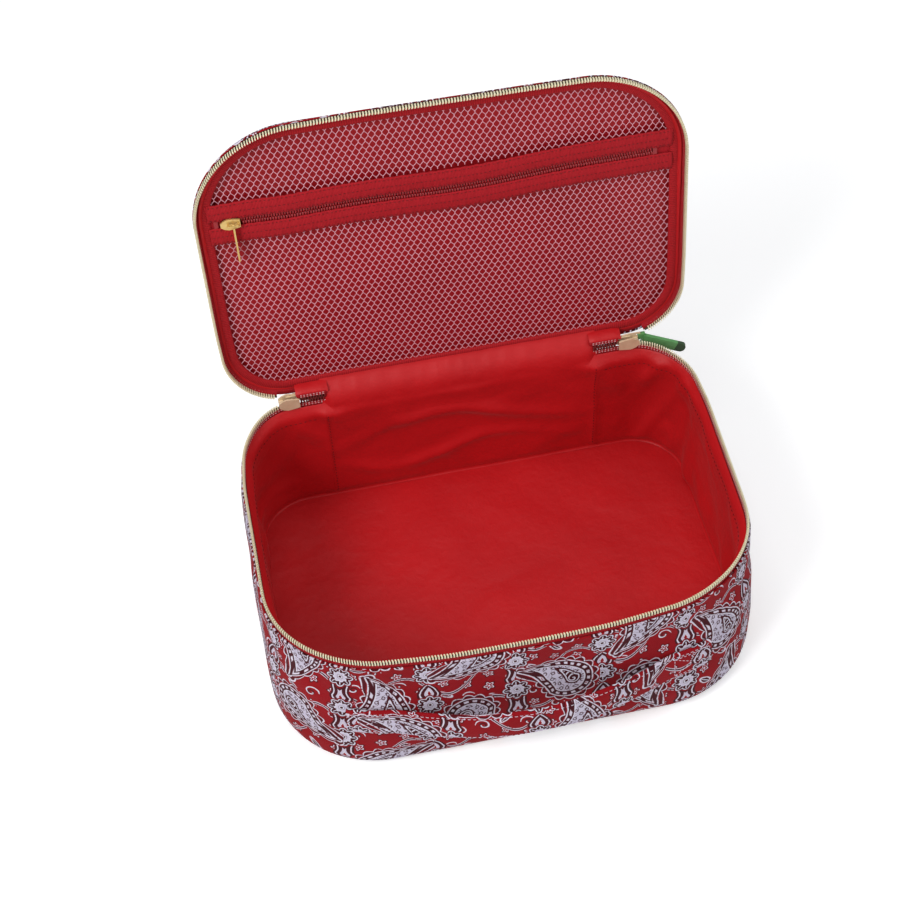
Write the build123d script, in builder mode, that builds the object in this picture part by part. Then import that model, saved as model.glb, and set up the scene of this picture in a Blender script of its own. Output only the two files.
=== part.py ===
from build123d import *
import os
from math import cos, floor, radians, sin, sqrt

# A soft padded tile bag with a lid that is hinged along its back edge. Millimetres and
# degrees. +Z is up, +X is to the right of someone who faces the front handle, -Y is the
# front. The origin is the middle of the base, on the surface that the bag stands on.
# The bag stands open, with its lid turned back about the hinge.

# The bag's outside
bag_width = 280.0
bag_depth = 194.0
rim_height = 98.0
corner_back = 38.0
corner_front = 60.0
base_edge = 10.0
lid_height = 14.0
lid_edge = 7.0
lid_open = 98.0

# Layers of the walls, from the outside in
fabric = 1.2
tape = 0.8
padding = 1.8
lining = 0.8
base_board_thickness = 2.0
lid_board_thickness = 1.5
layer_gap = 0.1

# Where the layers are sewn: heights are measured from the plane where the zip closes
sewn_edge = 5.5
tape_width = 12.0
hinge_from_side = 60.5
seam_from_hinge = 5.5
free_from_side = 24.0
hinge_gap = 0.3

# The main zip
tooth_pitch = 4.6
tooth_length = 1.9
tooth_thickness = 2.4
tooth_height = 2.6
tooth_reach = 0.9
chain_from_hinge = 2.0
tape_from_hinge = 0.5
tape_stub_height = 4.9

# The two main sliders and their pulls
slider_from_side = 36.0
slider_length = 12.5
slider_width = 9.5
slider_plate = 1.0
slider_clearance = 0.35
slider_slot = 2.0
slider_travel = 8.0
bail_length = 7.0
bail_height = 2.2
bail_width = 2.4
bail_bar = 0.9
bail_setback = 1.5
bail_foot = 1.2
slider_tongue = 1.1
link_length = 8.0
link_width = 6.4
link_bar = 0.9
link_play = 0.2
pull_width = 7.0
pull_thickness = 2.2
pull_length = 28.0
pull_end_length = 6.0
pull_tongue_width = 4.2
pull_end_round = 3.0
pull_drop = 2.5
band_gap = 0.3
left_droop = 30.0
right_droop = 20.0
right_turn = 12.0

# The net pocket in the lid
binding_thickness = 1.0
binding_width = 5.4
net_thickness = 0.6
net_tuck = 2.5
net_pitch_x = 25.0
net_pitch_y = 26.0
net_strand = 1.6
pocket_y = -36.0
pocket_slit = 5.0
pocket_tape_width = 11.0
pocket_tape_thickness = 1.0
coil_pitch = 8.0
coil_length = 5.0
coil_thickness = 1.6
coil_split = 1.0
coil_clearance = 0.2
pocket_slider_from_side = 21.0
pocket_slider_length = 11.0
pocket_slider_width = 7.2
pocket_end_play = 3.0
pocket_stop_length = 2.4
pocket_pull_length = 24.0
pocket_pull_width = 4.6
pocket_pull_thickness = 1.0
pocket_eye_radius = 1.45
pocket_eye_hole = 0.8
pocket_bail_width = 1.1
pocket_slider_clearance = 0.65

# The handle on the front wall
handle_z = 48.0
handle_width = 20.0
handle_thickness = 2.4
handle_foot = 80.0
handle_tab = 23.0
handle_bow = 15.0

os.makedirs("parts", exist_ok=True)

# Places along the back edge and the pocket's zip that follow from the bag's width
hinge_half = bag_width / 2 - hinge_from_side
seam_x = hinge_half + seam_from_hinge
chain_start_x = hinge_half + chain_from_hinge
tape_start_x = hinge_half + tape_from_hinge
free_half = bag_width / 2 - free_from_side
slider_x = bag_width / 2 - slider_from_side
pocket_slider_x = pocket_slider_from_side - bag_width / 2
pocket_travel = bag_width - 2 * (pocket_slider_from_side + pocket_end_play)

# Insets from the bag's outside, and heights that follow from the layers
tape_in = fabric
padding_in = fabric + tape
lining_in = padding_in + padding
inside_in = lining_in + lining
zip_in = fabric + tape / 2
wall_top = rim_height - sewn_edge
tape_foot = rim_height - tape_width
hinge_y = bag_depth / 2
floor_top = fabric + base_board_thickness
binding_in = inside_in + binding_width
net_front = sewn_edge + binding_thickness
lid_seam = lid_height - lid_edge
lid_up = Vector(0, sin(radians(lid_open)), cos(radians(lid_open)))
lid_back = Vector(0, cos(radians(lid_open)), -sin(radians(lid_open)))
lid_axis = Axis((0, 0, 0), lid_up)


def bag_outline(inset):
    """The bag's plan, drawn in by inset: tight corners behind, wide ones in front."""
    with BuildSketch(Plane.XY) as plan:
        Rectangle(bag_width - 2 * inset, bag_depth - 2 * inset)
        fillet(plan.vertices().group_by(Axis.Y)[-1], corner_back - inset)
        fillet(plan.vertices().group_by(Axis.Y)[0], corner_front - inset)
    return plan.sketch_local


def lid_plane(height):
    """A plane of the opened lid, height above the plane where the zip closes."""
    middle = Vector(0, hinge_y, rim_height) - lid_back * hinge_y
    return Plane(origin=middle + lid_up * height, x_dir=(1, 0, 0), z_dir=lid_up)


def edge_height(inset):
    """How high the fabric's turned base edge reaches at an inset."""
    return max(fabric, base_edge + fabric - inset)


def ring_wall(plane, outer, inner, height):
    """A wall that follows the bag's plan, between two insets."""
    with BuildPart() as wall:
        with BuildSketch(plane):
            add(bag_outline(outer))
            add(bag_outline(inner), mode=Mode.SUBTRACT)
        extrude(amount=height)
    return wall.part


def back_block(plane, half_length, depth, height):
    """A block along the back edge, used to cut or keep what lies between two seams."""
    with BuildPart() as block:
        with BuildSketch(plane):
            with Locations((0, hinge_y - depth / 2)):
                Rectangle(2 * half_length, depth)
        extrude(amount=height)
    return block.part


def save(part, name):
    part.label = name
    export_step(part, f"parts/{name}.step")


# Base: panel, stiffening board and lining
with BuildPart() as base_panel:
    with BuildSketch(Plane.XY):
        add(bag_outline(base_edge))
    extrude(amount=fabric)
save(base_panel.part, "base_panel")

with BuildPart() as base_board:
    with BuildSketch(Plane.XY.offset(fabric)):
        add(bag_outline(base_edge))
    extrude(amount=base_board_thickness)
save(base_board.part, "base_board")

base_lining_in = max(base_edge + fabric - floor_top + layer_gap, padding_in)
with BuildPart() as base_lining:
    with BuildSketch(Plane.XY.offset(floor_top)):
        add(bag_outline(base_lining_in))
    extrude(amount=lining)
save(base_lining.part, "base_lining")

# Outer fabric of the walls, turned under the base with a rounded edge
with BuildPart() as wall_hollow:
    with BuildSketch(Plane.XY.offset(fabric)):
        add(bag_outline(fabric))
    extrude(amount=rim_height)
    chamfer(wall_hollow.edges().group_by(Axis.Z)[0], base_edge - fabric)

with BuildPart() as wall_shell:
    with BuildSketch(Plane.XY):
        add(bag_outline(0))
    extrude(amount=wall_top)
    fillet(wall_shell.edges().group_by(Axis.Z)[0], base_edge)
    add(wall_hollow.part, mode=Mode.SUBTRACT)
    add(base_panel.part, mode=Mode.SUBTRACT)

with BuildPart() as side_panel:
    add(wall_shell.part)
    add(back_block(Plane.XY, seam_x, base_edge, rim_height), mode=Mode.SUBTRACT)
save(side_panel.part, "side_panel")

with BuildPart() as back_panel:
    add(wall_shell.part)
    add(back_block(Plane.XY, seam_x, base_edge, rim_height), mode=Mode.INTERSECT)
save(back_panel.part, "back_panel")

# Padding and lining of the walls, in a front piece and a back piece between the seams
padding_foot = edge_height(padding_in) + layer_gap
lining_foot = max(floor_top + lining, edge_height(lining_in) + layer_gap)
for layer, outer, inner, foot in (
    ("padding", padding_in, lining_in, padding_foot),
    ("lining", lining_in, inside_in, lining_foot),
):
    with BuildPart() as side_layer:
        add(ring_wall(Plane.XY.offset(foot), outer, inner, wall_top - foot))
        add(back_block(Plane.XY, seam_x, corner_back, rim_height), mode=Mode.SUBTRACT)
    save(side_layer.part, f"side_{layer}")

    with BuildPart() as back_layer:
        with BuildSketch(Plane.XY.offset(foot)):
            with Locations((0, hinge_y - (outer + inner) / 2)):
                Rectangle(2 * seam_x, inner - outer)
        extrude(amount=wall_top - foot)
    save(back_layer.part, f"back_{layer}")

# The lower half of the main zip's tape
tape_top = rim_height - tooth_height
with BuildPart() as lower_zip_tape:
    add(ring_wall(Plane.XY.offset(tape_foot), tape_in, padding_in, tape_top - tape_foot))
    add(back_block(Plane.XY, tape_start_x, corner_back, rim_height), mode=Mode.SUBTRACT)
save(lower_zip_tape.part, "lower_zip_tape")

# The line that the teeth follow, from the right back seam round the front to the left one
half_width = bag_width / 2 - zip_in
half_depth = bag_depth / 2 - zip_in
back_radius = corner_back - zip_in
front_radius = corner_front - zip_in
with BuildLine() as zip_line:
    Line((chain_start_x, half_depth), (half_width - back_radius, half_depth))
    CenterArc((half_width - back_radius, half_depth - back_radius), back_radius, 90, -90)
    Line((half_width, half_depth - back_radius), (half_width, front_radius - half_depth))
    CenterArc((half_width - front_radius, front_radius - half_depth), front_radius, 0, -90)
    Line((half_width - front_radius, -half_depth), (front_radius - half_width, -half_depth))
    CenterArc((front_radius - half_width, front_radius - half_depth), front_radius, -90, -90)
    Line((-half_width, front_radius - half_depth), (-half_width, half_depth - back_radius))
    CenterArc((back_radius - half_width, half_depth - back_radius), back_radius, 180, -90)
    Line((back_radius - half_width, half_depth), (-chain_start_x, half_depth))
zip_wire = zip_line.wire()


def tooth_row(plane, start, count, first):
    """Teeth that stand on a plane along the zip's line, from a distance along it."""
    spots = []
    for index in range(count):
        distance = start + (index + first) * tooth_pitch
        spot = zip_wire.position_at(distance, PositionMode.LENGTH)
        angle = zip_wire.tangent_angle_at(distance, PositionMode.LENGTH)
        spots.append(Location((spot.X, spot.Y, 0), (0, 0, angle)))
    with BuildPart() as row:
        with BuildSketch(plane):
            with Locations(*spots):
                Rectangle(tooth_length, tooth_thickness)
        extrude(amount=tooth_height + tooth_reach)
    return row.part


# Open teeth: the lower row starts past the sliders, the upper row a little further on
slider_end = slider_x + slider_length / 2
lower_start = slider_end + tooth_length - chain_start_x
upper_skip = floor((free_half - slider_end) / tooth_pitch) + 1
open_length = zip_wire.length - 2 * lower_start
lower_count = floor(open_length / tooth_pitch)
lower_teeth = tooth_row(Plane.XY.offset(tape_top), lower_start, lower_count, 0.5)
save(lower_teeth, "lower_zip_teeth")

upper_count = lower_count - 2 * upper_skip - 1
upper_teeth = tooth_row(lid_plane(-tooth_reach), lower_start, upper_count, upper_skip + 1)
save(upper_teeth, "upper_zip_teeth")

# The closed ends of the chain, between each slider and its seam, with the end of the
# upper tape that is sewn in there
closed_length = slider_x - slider_length / 2 - layer_gap - chain_start_x
closed_count = floor((closed_length - tooth_pitch / 2) / tooth_pitch)
upper_root = rim_height - tooth_reach
far_end = zip_wire.length - closed_count * tooth_pitch
for side, start in (("right", 0.0), ("left", far_end)):
    with BuildPart() as chain_end:
        add(tooth_row(Plane.XY.offset(tape_top), start, closed_count, 0.25))
        add(tooth_row(Plane.XY.offset(upper_root), start, closed_count, 0.75))
    save(chain_end.part, f"{side}_chain_end")

stub_low = rim_height + tooth_height
stub_length = closed_count * tooth_pitch
for side, sign in (("right", 1), ("left", -1)):
    with BuildPart() as tape_end:
        with BuildSketch(Plane.XY.offset(stub_low)):
            with Locations((sign * (chain_start_x + stub_length / 2), half_depth)):
                Rectangle(stub_length, tape)
        extrude(amount=rim_height + tape_stub_height - stub_low)
    save(tape_end.part, f"{side}_tape_end")

# The fabric hinge: one leaf on the bag and one on the lid, with the fold between them
with BuildPart() as hinge_leaf_lower:
    add(back_block(Plane.XY.offset(wall_top), hinge_half, fabric, sewn_edge - hinge_gap))
save(hinge_leaf_lower.part, "hinge_leaf_lower")

with BuildPart() as hinge_leaf_upper:
    add(back_block(lid_plane(hinge_gap), hinge_half, fabric, sewn_edge - hinge_gap))
save(hinge_leaf_upper.part, "hinge_leaf_upper")

# The handle: a strap sewn flat at both ends, which bows out from the wall between them
front_y = -bag_depth / 2
strap_y = front_y - handle_thickness
with BuildPart() as front_handle:
    with BuildSketch(Plane.XY.offset(handle_z - handle_width / 2)):
        with Locations((-handle_foot - handle_tab / 2, front_y), (handle_foot + handle_tab / 2, front_y)):
            Rectangle(handle_tab, corner_front)
        add(bag_outline(-handle_thickness), mode=Mode.INTERSECT)
        add(bag_outline(0), mode=Mode.SUBTRACT)
        with BuildLine():
            ThreePointArc((-handle_foot, front_y), (0, front_y - handle_bow), (handle_foot, front_y))
            Line((handle_foot, front_y), (handle_foot, strap_y))
            ThreePointArc((handle_foot, strap_y), (0, strap_y - handle_bow), (-handle_foot, strap_y))
            Line((-handle_foot, strap_y), (-handle_foot, front_y))
        make_face()
    extrude(amount=handle_width)
save(front_handle.part, "front_handle")

# Lid shell: a gusset round the edge and a top panel, with a soft rounded edge
with BuildPart() as lid_hollow:
    with BuildSketch(lid_plane(0)):
        add(bag_outline(fabric))
    extrude(amount=lid_height - fabric)
    chamfer(lid_hollow.faces().sort_by(lid_axis)[-1].edges(), lid_edge - fabric)

with BuildPart() as lid_shell:
    with BuildSketch(lid_plane(sewn_edge)):
        add(bag_outline(0))
    extrude(amount=lid_height - sewn_edge)
    fillet(lid_shell.faces().sort_by(lid_axis)[-1].edges(), lid_edge)
    add(lid_hollow.part, mode=Mode.SUBTRACT)

with BuildPart() as lid_gusset:
    add(lid_shell.part)
    split(bisect_by=lid_plane(lid_seam), keep=Keep.BOTTOM)
save(lid_gusset.part, "lid_gusset")

with BuildPart() as lid_top_panel:
    add(lid_shell.part)
    split(bisect_by=lid_plane(lid_seam), keep=Keep.TOP)
save(lid_top_panel.part, "lid_top_panel")

# Under the top panel: foam, a stiffening board and the lining
board_top = lid_height - fabric - padding
board_foot = board_top - lid_board_thickness
lining_low = board_foot - lining
with BuildPart() as lid_padding:
    with BuildSketch(lid_plane(board_top)):
        add(bag_outline(lid_edge))
    extrude(amount=padding)
save(lid_padding.part, "lid_padding")

with BuildPart() as lid_board:
    with BuildSketch(lid_plane(board_foot)):
        add(bag_outline(lid_edge))
    extrude(amount=lid_board_thickness)
save(lid_board.part, "lid_board")

with BuildPart() as lid_lining:
    with BuildSketch(lid_plane(lining_low)):
        add(bag_outline(lining_in))
    extrude(amount=lining)
save(lid_lining.part, "lid_lining")

# Padding and lining of the gusset
gusset_plane = lid_plane(sewn_edge)
gusset_padding_height = min(lining_low, lid_seam + padding_in - fabric - layer_gap) - sewn_edge
gusset_padding = ring_wall(gusset_plane, padding_in, lining_in, gusset_padding_height)
save(gusset_padding, "gusset_padding")

gusset_lining = ring_wall(gusset_plane, lining_in, inside_in, lining_low - sewn_edge)
save(gusset_lining, "gusset_lining")

# The upper half of the main zip's tape, kept clear of the hinge
with BuildPart() as upper_zip_tape:
    upper_tape_height = min(tape_width, lid_seam) - tooth_height
    add(ring_wall(lid_plane(tooth_height), tape_in, padding_in, upper_tape_height))
    notch_height = sewn_edge - tooth_height
    add(back_block(lid_plane(tooth_height), free_half, corner_back, notch_height), mode=Mode.SUBTRACT)
save(upper_zip_tape.part, "upper_zip_tape")

# The net pocket: a bound edge, two net panels and two tapes with a zip between them
binding = ring_wall(lid_plane(sewn_edge), inside_in, binding_in, binding_thickness)
save(binding, "lid_binding")


net_in = binding_in - net_tuck
net_edge = net_tuck + net_strand


def net_panel(low, high):
    """A net with diamond gaps over the lid's window, between two heights in the lid."""
    gap_x = (net_pitch_x - net_strand) / 2
    gap_y = (net_pitch_y - net_strand) / 2
    rows = floor((high - low - 2 * (net_edge + gap_y)) / (net_pitch_y / 2)) + 1
    first_y = (low + high) / 2 - (rows - 1) * net_pitch_y / 4
    gaps = []
    for row in range(rows):
        y = first_y + row * net_pitch_y / 2
        corner = corner_front if y < 0 else corner_back
        radius = corner - net_in - net_edge
        depth = min(max(0, abs(y) + gap_y / 2 - (bag_depth / 2 - corner)), radius)
        reach = bag_width / 2 - corner + sqrt(radius**2 - depth**2) - gap_x
        shift = net_pitch_x / 2 * (row % 2)
        columns = floor((reach - shift) / net_pitch_x)
        for column in range(-columns - row % 2, columns + 1):
            gaps.append((column * net_pitch_x + shift, y))
    with BuildPart() as net:
        with BuildSketch(lid_plane(net_front)):
            add(bag_outline(net_in))
            with Locations((0, (low + high) / 2)):
                Rectangle(bag_width, high - low, mode=Mode.INTERSECT)
            with Locations(*gaps):
                Polygon((gap_x, 0), (0, gap_y), (-gap_x, 0), (0, -gap_y), mode=Mode.SUBTRACT)
        extrude(amount=net_thickness)
    return net.part


slit_edge = pocket_slit / 2 + coil_clearance
net_end = bag_depth / 2 - net_in
mesh_upper = net_panel(-net_end, pocket_y - slit_edge)
save(mesh_upper, "mesh_upper")
mesh_lower = net_panel(pocket_y + slit_edge, net_end)
save(mesh_lower, "mesh_lower")

tape_middle = (pocket_slit + pocket_tape_width) / 2
for name, side in (("pocket_tape_upper", -1), ("pocket_tape_lower", 1)):
    with BuildPart() as pocket_tape:
        with BuildSketch(lid_plane(net_front - pocket_tape_thickness)):
            add(bag_outline(binding_in))
            with Locations((0, pocket_y + side * tape_middle)):
                Rectangle(bag_width, pocket_tape_width, mode=Mode.INTERSECT)
        extrude(amount=pocket_tape_thickness)
    save(pocket_tape.part, name)

# The pocket's zip: two rows of coil turns, a stop at each end and a slider
coil_low = net_front - pocket_tape_thickness / 2 - coil_thickness / 2
coil_middle = coil_low + coil_thickness / 2
coil_width = (pocket_slit - coil_split) / 2 - coil_clearance
coil_y = (coil_split + coil_width) / 2
coil_start = pocket_slider_x + pocket_slider_length / 2 + coil_clearance
stop_x = pocket_slider_x + pocket_travel + pocket_slider_length / 2 + pocket_stop_length
coil_count = floor((stop_x - pocket_stop_length / 2 - coil_start) / coil_pitch)
coil_spots = []
for turn in range(coil_count):
    x = coil_start + (turn + 0.5) * coil_pitch
    coil_spots.append((x, pocket_y - coil_y))
    coil_spots.append((x, pocket_y + coil_y))
with BuildPart() as pocket_coil:
    with BuildSketch(lid_plane(coil_low)):
        with Locations(*coil_spots):
            Rectangle(coil_length, coil_width)
    extrude(amount=coil_thickness)
save(pocket_coil.part, "pocket_coil")

left_stop_x = pocket_slider_x - pocket_slider_length / 2 - pocket_stop_length
with BuildPart() as pocket_stops:
    with BuildSketch(lid_plane(coil_low)):
        with Locations((left_stop_x, pocket_y), (stop_x, pocket_y)):
            Rectangle(pocket_stop_length, pocket_slit - 2 * coil_clearance)
    extrude(amount=coil_thickness)
save(pocket_stops.part, "pocket_stops")


def slider_body(plane, length, width, gap, slot, tongue, bail_across):
    """A zip slider: two plates, a tongue, rails and a bail. Its broad end points along
    the plane's x, and its bail stands on the side that the plane faces."""
    half = length / 2
    wide = width / 2
    waist = wide * 0.72
    upper = [(-half, waist), (-half * 0.35, wide * 0.9), (half * 0.2, wide), (half * 0.62, wide * 0.8),
             (half, wide * 0.36)]
    lower = [(x, -y) for x, y in reversed(upper)]
    side = Plane(origin=plane.origin, x_dir=plane.x_dir, z_dir=plane.y_dir * -1)
    face = gap / 2 + slider_plate
    rail_width = waist - tooth_height - slider_clearance
    rail_y = waist - rail_width / 2
    with BuildPart() as body:
        for direction in (1, -1):
            with BuildSketch(plane.offset(direction * gap / 2)):
                with BuildLine():
                    Polyline(*upper, *lower, close=True)
                make_face()
            extrude(amount=direction * slider_plate)
            if gap > slot:
                with BuildSketch(plane.offset(direction * gap / 2)):
                    with Locations((-half * 0.3, rail_y), (-half * 0.3, -rail_y)):
                        Rectangle(half * 1.1, rail_width)
                extrude(amount=-direction * (gap - slot) / 2)
        with BuildSketch(plane.offset(-gap / 2)):
            with Locations((half * 0.74, 0)):
                RectangleRounded(half * 0.5, 2 * tongue, tongue * 0.45)
        extrude(amount=gap)
        with BuildSketch(side) as arch:
            with Locations((-bail_setback, face + bail_height / 2)):
                Rectangle(bail_length, bail_height)
            fillet(arch.vertices().group_by(Axis.Y)[-1], bail_bar)
            with Locations((-bail_setback, face + (bail_height - bail_bar) / 2)):
                Rectangle(bail_window, bail_height - bail_bar, mode=Mode.SUBTRACT)
        extrude(amount=bail_across / 2, both=True)
    return body.part


# The main sliders stand on the closed ends of the chain, broad end outwards
bail_window = bail_length - 2 * bail_foot
slider_gap = tooth_thickness + 2 * slider_clearance
for side, sign in (("right", 1), ("left", -1)):
    origin = (sign * slider_x, half_depth, rim_height)
    slider_plane = Plane(origin=origin, x_dir=(sign, 0, 0), z_dir=(0, 1, 0))
    slider = slider_body(slider_plane, slider_length, slider_width, slider_gap, slider_slot,
                         slider_tongue, bail_width)
    save(slider, f"{side}_slider")

# Each pull is a wire link through the bail, a strap and a dark end. Both point to the
# right, and the straps droop
link_y = half_depth + slider_gap / 2 + slider_plate + (bail_height - bail_bar) / 2
bar_offset = bail_window / 2 - link_bar / 2 - link_play
for side, sign, droop, turn in (("right", 1, right_droop, right_turn), ("left", -1, left_droop, 0)):
    pivot_x = sign * (slider_x - bail_setback) + bar_offset
    link_plane = Plane(origin=(pivot_x, link_y, rim_height), x_dir=(1, 0, 0), z_dir=(0, 1, 0))
    cross_x = link_length - link_bar / 2
    with BuildPart() as link:
        with BuildSketch(link_plane):
            with Locations(((link_length - link_bar / 2) / 2, 0)):
                Rectangle(link_length + link_bar / 2, link_width)
            with Locations((cross_x / 2, 0)):
                Rectangle(cross_x - link_bar, link_width - 2 * link_bar, mode=Mode.SUBTRACT)
        extrude(amount=link_bar / 2, both=True)
    save(link.part, f"{side}_pull_link")

    along = Vector(cos(radians(turn)), -sin(radians(turn)), 0)
    outward = Vector(sin(radians(turn)), cos(radians(turn)), 0)
    band_origin = Vector(pivot_x + link_length, link_y, rim_height)
    band_plane = Plane(origin=band_origin, x_dir=along, z_dir=outward)
    lean = Vector(cos(radians(droop)), sin(radians(droop)), 0)
    across = Vector(-sin(radians(droop)), cos(radians(droop)), 0) * (pull_width / 2)
    band_start = Vector(band_gap - across.X, pull_drop, 0)
    band_seam = band_start + lean * (pull_length - pull_end_length)
    band_tip = band_start + lean * pull_length
    tongue_end = link_length + 2 * band_gap + 2 * abs(across.X)
    tongue_start = cross_x - link_bar - layer_gap
    with BuildPart() as strap:
        with BuildSketch(band_plane):
            with BuildLine():
                Polyline(band_start + across, band_seam + across, band_seam - across, band_start - across,
                         close=True)
            make_face()
        extrude(amount=pull_thickness / 2, both=True)
        with BuildSketch(link_plane):
            with Locations(((tongue_start + tongue_end) / 2, 0)):
                Rectangle(tongue_end - tongue_start, pull_tongue_width)
        extrude(amount=pull_thickness / 2, both=True)
        with BuildSketch(link_plane):
            with Locations((cross_x, 0)):
                Rectangle(link_bar, pull_width)
        extrude(amount=link_bar / 2, both=True, mode=Mode.SUBTRACT)
    save(strap.part, f"{side}_pull_strap")

    with BuildPart() as strap_end:
        with BuildSketch(band_plane) as tip:
            with BuildLine():
                Polyline(band_seam + across, band_tip + across, band_tip - across, band_seam - across,
                         close=True)
            make_face()
            fillet(tip.vertices().sort_by(Axis.X)[-2:], pull_end_round)
        extrude(amount=pull_thickness / 2, both=True)
    save(strap_end.part, f"{side}_pull_end")

# The pocket's slider, broad end to the left, and the metal tab that hangs from its bail
lid_zero = lid_plane(coil_middle)
pocket_origin = lid_zero.origin + lid_zero.x_dir * pocket_slider_x + lid_zero.y_dir * pocket_y
pocket_plane = Plane(origin=pocket_origin, x_dir=(-1, 0, 0), z_dir=lid_zero.z_dir * -1)
pocket_gap = coil_thickness + 2 * pocket_slider_clearance
pocket_tongue = coil_split / 2 - layer_gap
pocket_slider = slider_body(pocket_plane, pocket_slider_length, pocket_slider_width, pocket_gap,
                            pocket_gap, pocket_tongue, pocket_bail_width)
save(pocket_slider, "pocket_slider")

eye_height = pocket_gap / 2 + slider_plate + bail_height - bail_bar / 2
eye_x = Vector(1, 0, 0) * bail_setback
eye_origin = pocket_origin + eye_x - lid_zero.z_dir * eye_height
tab_plane = Plane(origin=eye_origin, x_dir=lid_zero.y_dir, z_dir=(1, 0, 0))
blade_back = eye_height - pocket_tape_thickness / 2 - slider_clearance
neck_length = pocket_slider_width / 2 + 2 * slider_clearance
with BuildPart() as pocket_pull:
    with BuildSketch(tab_plane) as tab:
        with Locations((neck_length / 2 + layer_gap, 0)):
            Rectangle(neck_length, 1.7 * pocket_eye_radius)
        with BuildLine():
            Polyline((neck_length, -pocket_eye_radius), (pocket_pull_length, blade_back - pocket_pull_width),
                     (pocket_pull_length, blade_back), (neck_length + 2, blade_back),
                     (neck_length, pocket_eye_radius), close=True)
        make_face()
        Circle(pocket_eye_radius)
        Circle(pocket_eye_hole, mode=Mode.SUBTRACT)
    extrude(amount=pocket_pull_thickness / 2, both=True)
save(pocket_pull.part, "pocket_pull")
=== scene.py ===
import bpy
import math
import random
import numpy as np
from mathutils import Matrix, Vector


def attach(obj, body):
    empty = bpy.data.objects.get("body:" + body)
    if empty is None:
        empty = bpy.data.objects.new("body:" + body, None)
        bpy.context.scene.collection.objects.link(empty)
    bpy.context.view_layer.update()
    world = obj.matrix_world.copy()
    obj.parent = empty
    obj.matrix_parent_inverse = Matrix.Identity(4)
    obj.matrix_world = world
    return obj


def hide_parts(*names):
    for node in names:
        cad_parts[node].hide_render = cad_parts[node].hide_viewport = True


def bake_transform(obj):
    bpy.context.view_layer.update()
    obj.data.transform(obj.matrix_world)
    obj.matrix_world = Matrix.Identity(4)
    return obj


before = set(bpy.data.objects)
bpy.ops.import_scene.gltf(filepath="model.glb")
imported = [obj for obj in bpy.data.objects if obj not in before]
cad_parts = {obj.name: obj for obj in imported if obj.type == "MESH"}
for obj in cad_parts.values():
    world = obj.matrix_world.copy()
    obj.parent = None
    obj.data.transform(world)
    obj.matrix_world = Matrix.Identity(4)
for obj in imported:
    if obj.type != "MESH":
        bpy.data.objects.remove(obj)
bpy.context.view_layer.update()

# ---- dimensions, millimetres
WIDTH, DEPTH, RIM = 280.0, 194.0, 98.0
BACK_R, FRONT_R = 38.0, 60.0
BASE_R = 10.0
LID_H, LID_OPEN = 14.0, 98.0
SEAM_X = 85.0
SLIDER_X = 104.0
# where the lid's zip starts, clear of the right slider's pull and of the left slider
FREE_X, LEFT_FREE_X = 116.3, 112.0
HINGE_Y = DEPTH / 2
NET_H = 6.8
POCKET_Y = -36.0
TOOTH_PITCH = 1.65
STRAP_Z, STRAP_FOOT_X = 48.0, 80.0

up_l = np.array([0, math.sin(math.radians(LID_OPEN)), math.cos(math.radians(LID_OPEN))])
back_l = np.array([0, math.cos(math.radians(LID_OPEN)), -math.sin(math.radians(LID_OPEN))])

# ---- camera, first of all
def place_camera():
    """The photograph's viewpoint: high, a little to the left of the front, slightly rolled."""
    az, el, roll = (math.radians(a) for a in (-8.4, 52.9, -3.6))
    back = Vector((math.sin(az) * math.cos(el), -math.cos(az) * math.cos(el), math.sin(el)))
    right = Vector((math.cos(az), math.sin(az), 0))
    up = back.cross(right)
    r2 = math.cos(roll) * right + math.sin(roll) * up
    u2 = -math.sin(roll) * right + math.cos(roll) * up
    place = Vector((0, 0, 0.098)) + back * 1.08444 - 0.02464 * r2 + 0.02716 * u2
    data = bpy.data.cameras.new("camera")
    data.lens = 76.0
    data.sensor_width = 36.0
    data.sensor_fit = "HORIZONTAL"
    data.clip_start = 0.01
    camera = bpy.data.objects.new("camera", data)
    turn = Matrix((r2, u2, back)).transposed()
    camera.matrix_world = Matrix.Translation(place) @ turn.to_4x4()
    bpy.context.scene.collection.objects.link(camera)
    bpy.context.scene.camera = camera


place_camera()

# ---- the plan's outline
RUNS = [
    ("line", (0, 97), (102, 97), (0, 1)),
    ("arc", (102, 59), 38, 90),
    ("line", (140, 59), (140, -37), (1, 0)),
    ("arc", (80, -37), 60, 0),
    ("line", (80, -97), (-80, -97), (0, -1)),
    ("arc", (-80, -37), 60, -90),
    ("line", (-140, -37), (-140, 59), (-1, 0)),
    ("arc", (-102, 59), 38, 180),
    ("line", (-102, 97), (0, 97), (0, 1)),
]


def run_length(run):
    if run[0] == "arc":
        return run[2] * math.pi / 2
    return math.dist(run[1], run[2])


STARTS = np.concatenate([[0], np.cumsum([run_length(r) for r in RUNS])])
LENGTH = float(STARTS[-1])
FRONT_S = LENGTH / 2


def outline(s):
    """Point and outward normal of the outline, s mm from the back's middle, clockwise from above."""
    s = np.mod(np.asarray(s, float), LENGTH)
    x, y = np.zeros_like(s), np.zeros_like(s)
    nx, ny = np.zeros_like(s), np.zeros_like(s)
    for i, run in enumerate(RUNS):
        on = (s >= STARTS[i]) & (s <= STARTS[i + 1])
        d = s[on] - STARTS[i]
        if run[0] == "line":
            t = d / run_length(run)
            x[on] = run[1][0] + t * (run[2][0] - run[1][0])
            y[on] = run[1][1] + t * (run[2][1] - run[1][1])
            nx[on], ny[on] = run[3]
        else:
            a = math.radians(run[3]) - d / run[2]
            nx[on], ny[on] = np.cos(a), np.sin(a)
            x[on] = run[1][0] + run[2] * nx[on]
            y[on] = run[1][1] + run[2] * ny[on]
    return x, y, nx, ny


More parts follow.
